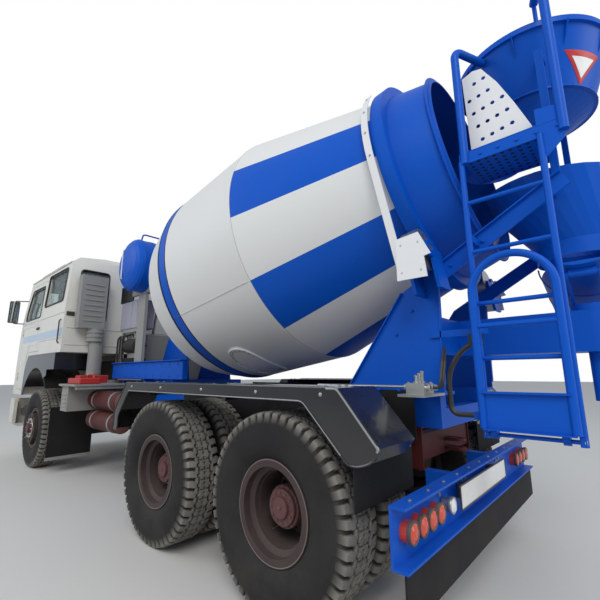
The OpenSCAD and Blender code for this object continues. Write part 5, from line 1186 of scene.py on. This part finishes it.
# Right side: fuel tank straps and cap. Both sides: frame rivets, spring clips, brake chambers and their lines.
fuel = {"strapXs": (2.47, 2.5, 3.27, 3.3),
        "strap": [(-0.485, 0.465), (-1.193, 0.465), (-1.193, 1.064), (-0.485, 1.064)],
        "cap": [(0.0005, 0.02), (0.05, 0.018), (0.062, 0.01), (0.064, -0.01), (0.056, -0.012)]}
fuelForms = [bent([(x, y, z) for y, z in fuel["strap"]], 0.007, 0.03, 8, True) for x in fuel["strapXs"]]
piece("fuelTrim", fuelForms + [lathe(fuel["cap"], at(2.42, -1.03, 1.1), ezZ, 36)], "wornSteel")
rivetXs = np.concatenate([np.arange(-0.5, 2.2, 0.18), np.arange(2.3, 4.2, 0.22)])
rivets = heads([(x, 0.4305, z) for x in rivetXs for z in (0.79, 0.95)], ezY, 0.0085, 0.008, 8)
piece("railRivets", bothSides([rivets]), "frameRed")
clipRows = ((5.11, 0.44, 0.612), (5.37, 0.44, 0.612), (0.57, 0.63, 0.74), (0.83, 0.63, 0.74))
clipForms = [bent([(x, 0.334, low), (x, 0.334, high), (x, 0.436, high), (x, 0.436, low)], 0.009, 0.03, 8)
             for x, low, high in clipRows]
piece("springClips", bothSides(clipForms), "gearIron")
chambers, airLines = [], []
for x in (0.0, 1.4):  # the two driven axles
    chambers += [disc(0.085, -0.06, 0.075, at(x - 0.235, 0.3, 0.64), -ezX, 32, 0.35),
                 torus(0.087, 0.007, at(x - 0.24, 0.3, 0.64), ezX, 40, 8),
                 rod(at(x - 0.19, 0.3, 0.64), at(x - 0.06, 0.3, 0.6), 0.012, 10)]
    airLines.append(bent([(x - 0.25, 0.3, 0.72), (x - 0.2, 0.33, 0.78), (x - 0.05, 0.4, 0.8),
                          (x + 0.1, 0.425, 0.86)], 0.007, 0.05, 8))
piece("brakeChambers", bothSides(chambers), "gearIron")
piece("airLines", bothSides(airLines), "hoseRubber")
print("running trim made")

# Camera: place and turn fitted to the photograph's wheels, drum, ladder and bumper.
shot = {"place": (-4.095, 2.811, 1.347), "yaw": -47.968, "pitch": 11.173, "roll": -0.328, "lens": 22.21,
        "sensor": 36}
yaw, pitch, roll = (math.radians(shot[k]) for k in ("yaw", "pitch", "roll"))
ahead = np.array([math.cos(yaw) * math.cos(pitch), math.sin(yaw) * math.cos(pitch), math.sin(pitch)])
right0 = np.array([math.sin(yaw), -math.cos(yaw), 0])
up0 = np.cross(right0, ahead)
right = math.cos(roll) * right0 + math.sin(roll) * up0
up = -math.sin(roll) * right0 + math.cos(roll) * up0
camera = bpy.data.objects.new("camera", bpy.data.cameras.new("camera"))
bpy.context.collection.objects.link(camera)
pose = np.eye(4)
pose[:3, 0], pose[:3, 1], pose[:3, 2], pose[:3, 3] = right, up, -ahead, shot["place"]
camera.matrix_world = Matrix(pose.tolist())
camera.data.sensor_width = shot["sensor"]
camera.data.lens = shot["lens"]
camera.data.clip_start, camera.data.clip_end = 0.05, 200
bpy.context.scene.camera = camera

# Stage: a pale floor, soft lights and a white surround.
stage = {"half": 60, "floor": (0.62, 0.6, 0.57, 1), "sky": (0.82, 0.9, 1.0, 1), "skyStrength": 0.62}
floor = bpy.data.objects.new("floor", bpy.data.meshes.new("floor"))
half = stage["half"]
floor.data.from_pydata([(-half, -half, 0), (half, -half, 0), (half, half, 0), (-half, half, 0)], [], [(0, 1, 2, 3)])
bpy.context.collection.objects.link(floor)
floorMat = bpy.data.materials.new("floorPale")
floorMat.use_nodes = True
floorShader = floorMat.node_tree.nodes["Principled BSDF"]
floorShader.inputs["Base Color"].default_value = stage["floor"]
floorShader.inputs["Roughness"].default_value = 0.9
floor.data.materials.append(floorMat)

lights = [  # name, place, aim, size, power
    ("keyLight", (-9.0, 9.0, 11.0), (0, 0, 1.5), 7.0, 1000),
    ("fillLight", (-14.0, -2.0, 6.0), (-2, 0, 1.5), 6.0, 350),
    ("rimLight", (6.0, 9.0, 7.0), (1, 0, 1.5), 6.0, 300),
]
for name, spot, aim, size, power in lights:
    lamp = bpy.data.objects.new(name, bpy.data.lights.new(name, "AREA"))
    lamp.data.size = size
    lamp.data.energy = power
    back = unit(np.array(spot) - np.array(aim))
    side = unit(np.cross(ezZ, back))
    m = np.eye(4)
    m[:3] = np.stack([side, np.cross(back, side), back, spot], 1)
    lamp.matrix_world = Matrix(m.tolist())
    bpy.context.collection.objects.link(lamp)

world = bpy.data.worlds.new("surround")
bpy.context.scene.world = world
world.use_nodes = True
wt = world.node_tree
wt.nodes.clear()
path = wt.nodes.new("ShaderNodeLightPath")
seen = mathNode(wt, "MAXIMUM", path.outputs["Is Camera Ray"], path.outputs["Is Transmission Ray"])
plain, soft = (wt.nodes.new("ShaderNodeBackground") for _ in range(2))
for node, color, strength in ((plain, (1, 1, 1, 1), 1.0), (soft, stage["sky"], stage["skyStrength"])):
    node.inputs["Color"].default_value = color
    node.inputs["Strength"].default_value = strength
mixer = wt.nodes.new("ShaderNodeMixShader")
out = wt.nodes.new("ShaderNodeOutputWorld")
wt.links.new(seen, mixer.inputs[0])
wt.links.new(soft.outputs[0], mixer.inputs[1])
wt.links.new(plain.outputs[0], mixer.inputs[2])
wt.links.new(mixer.outputs[0], out.inputs["Surface"])
bpy.context.scene.view_settings.view_transform = "Standard"
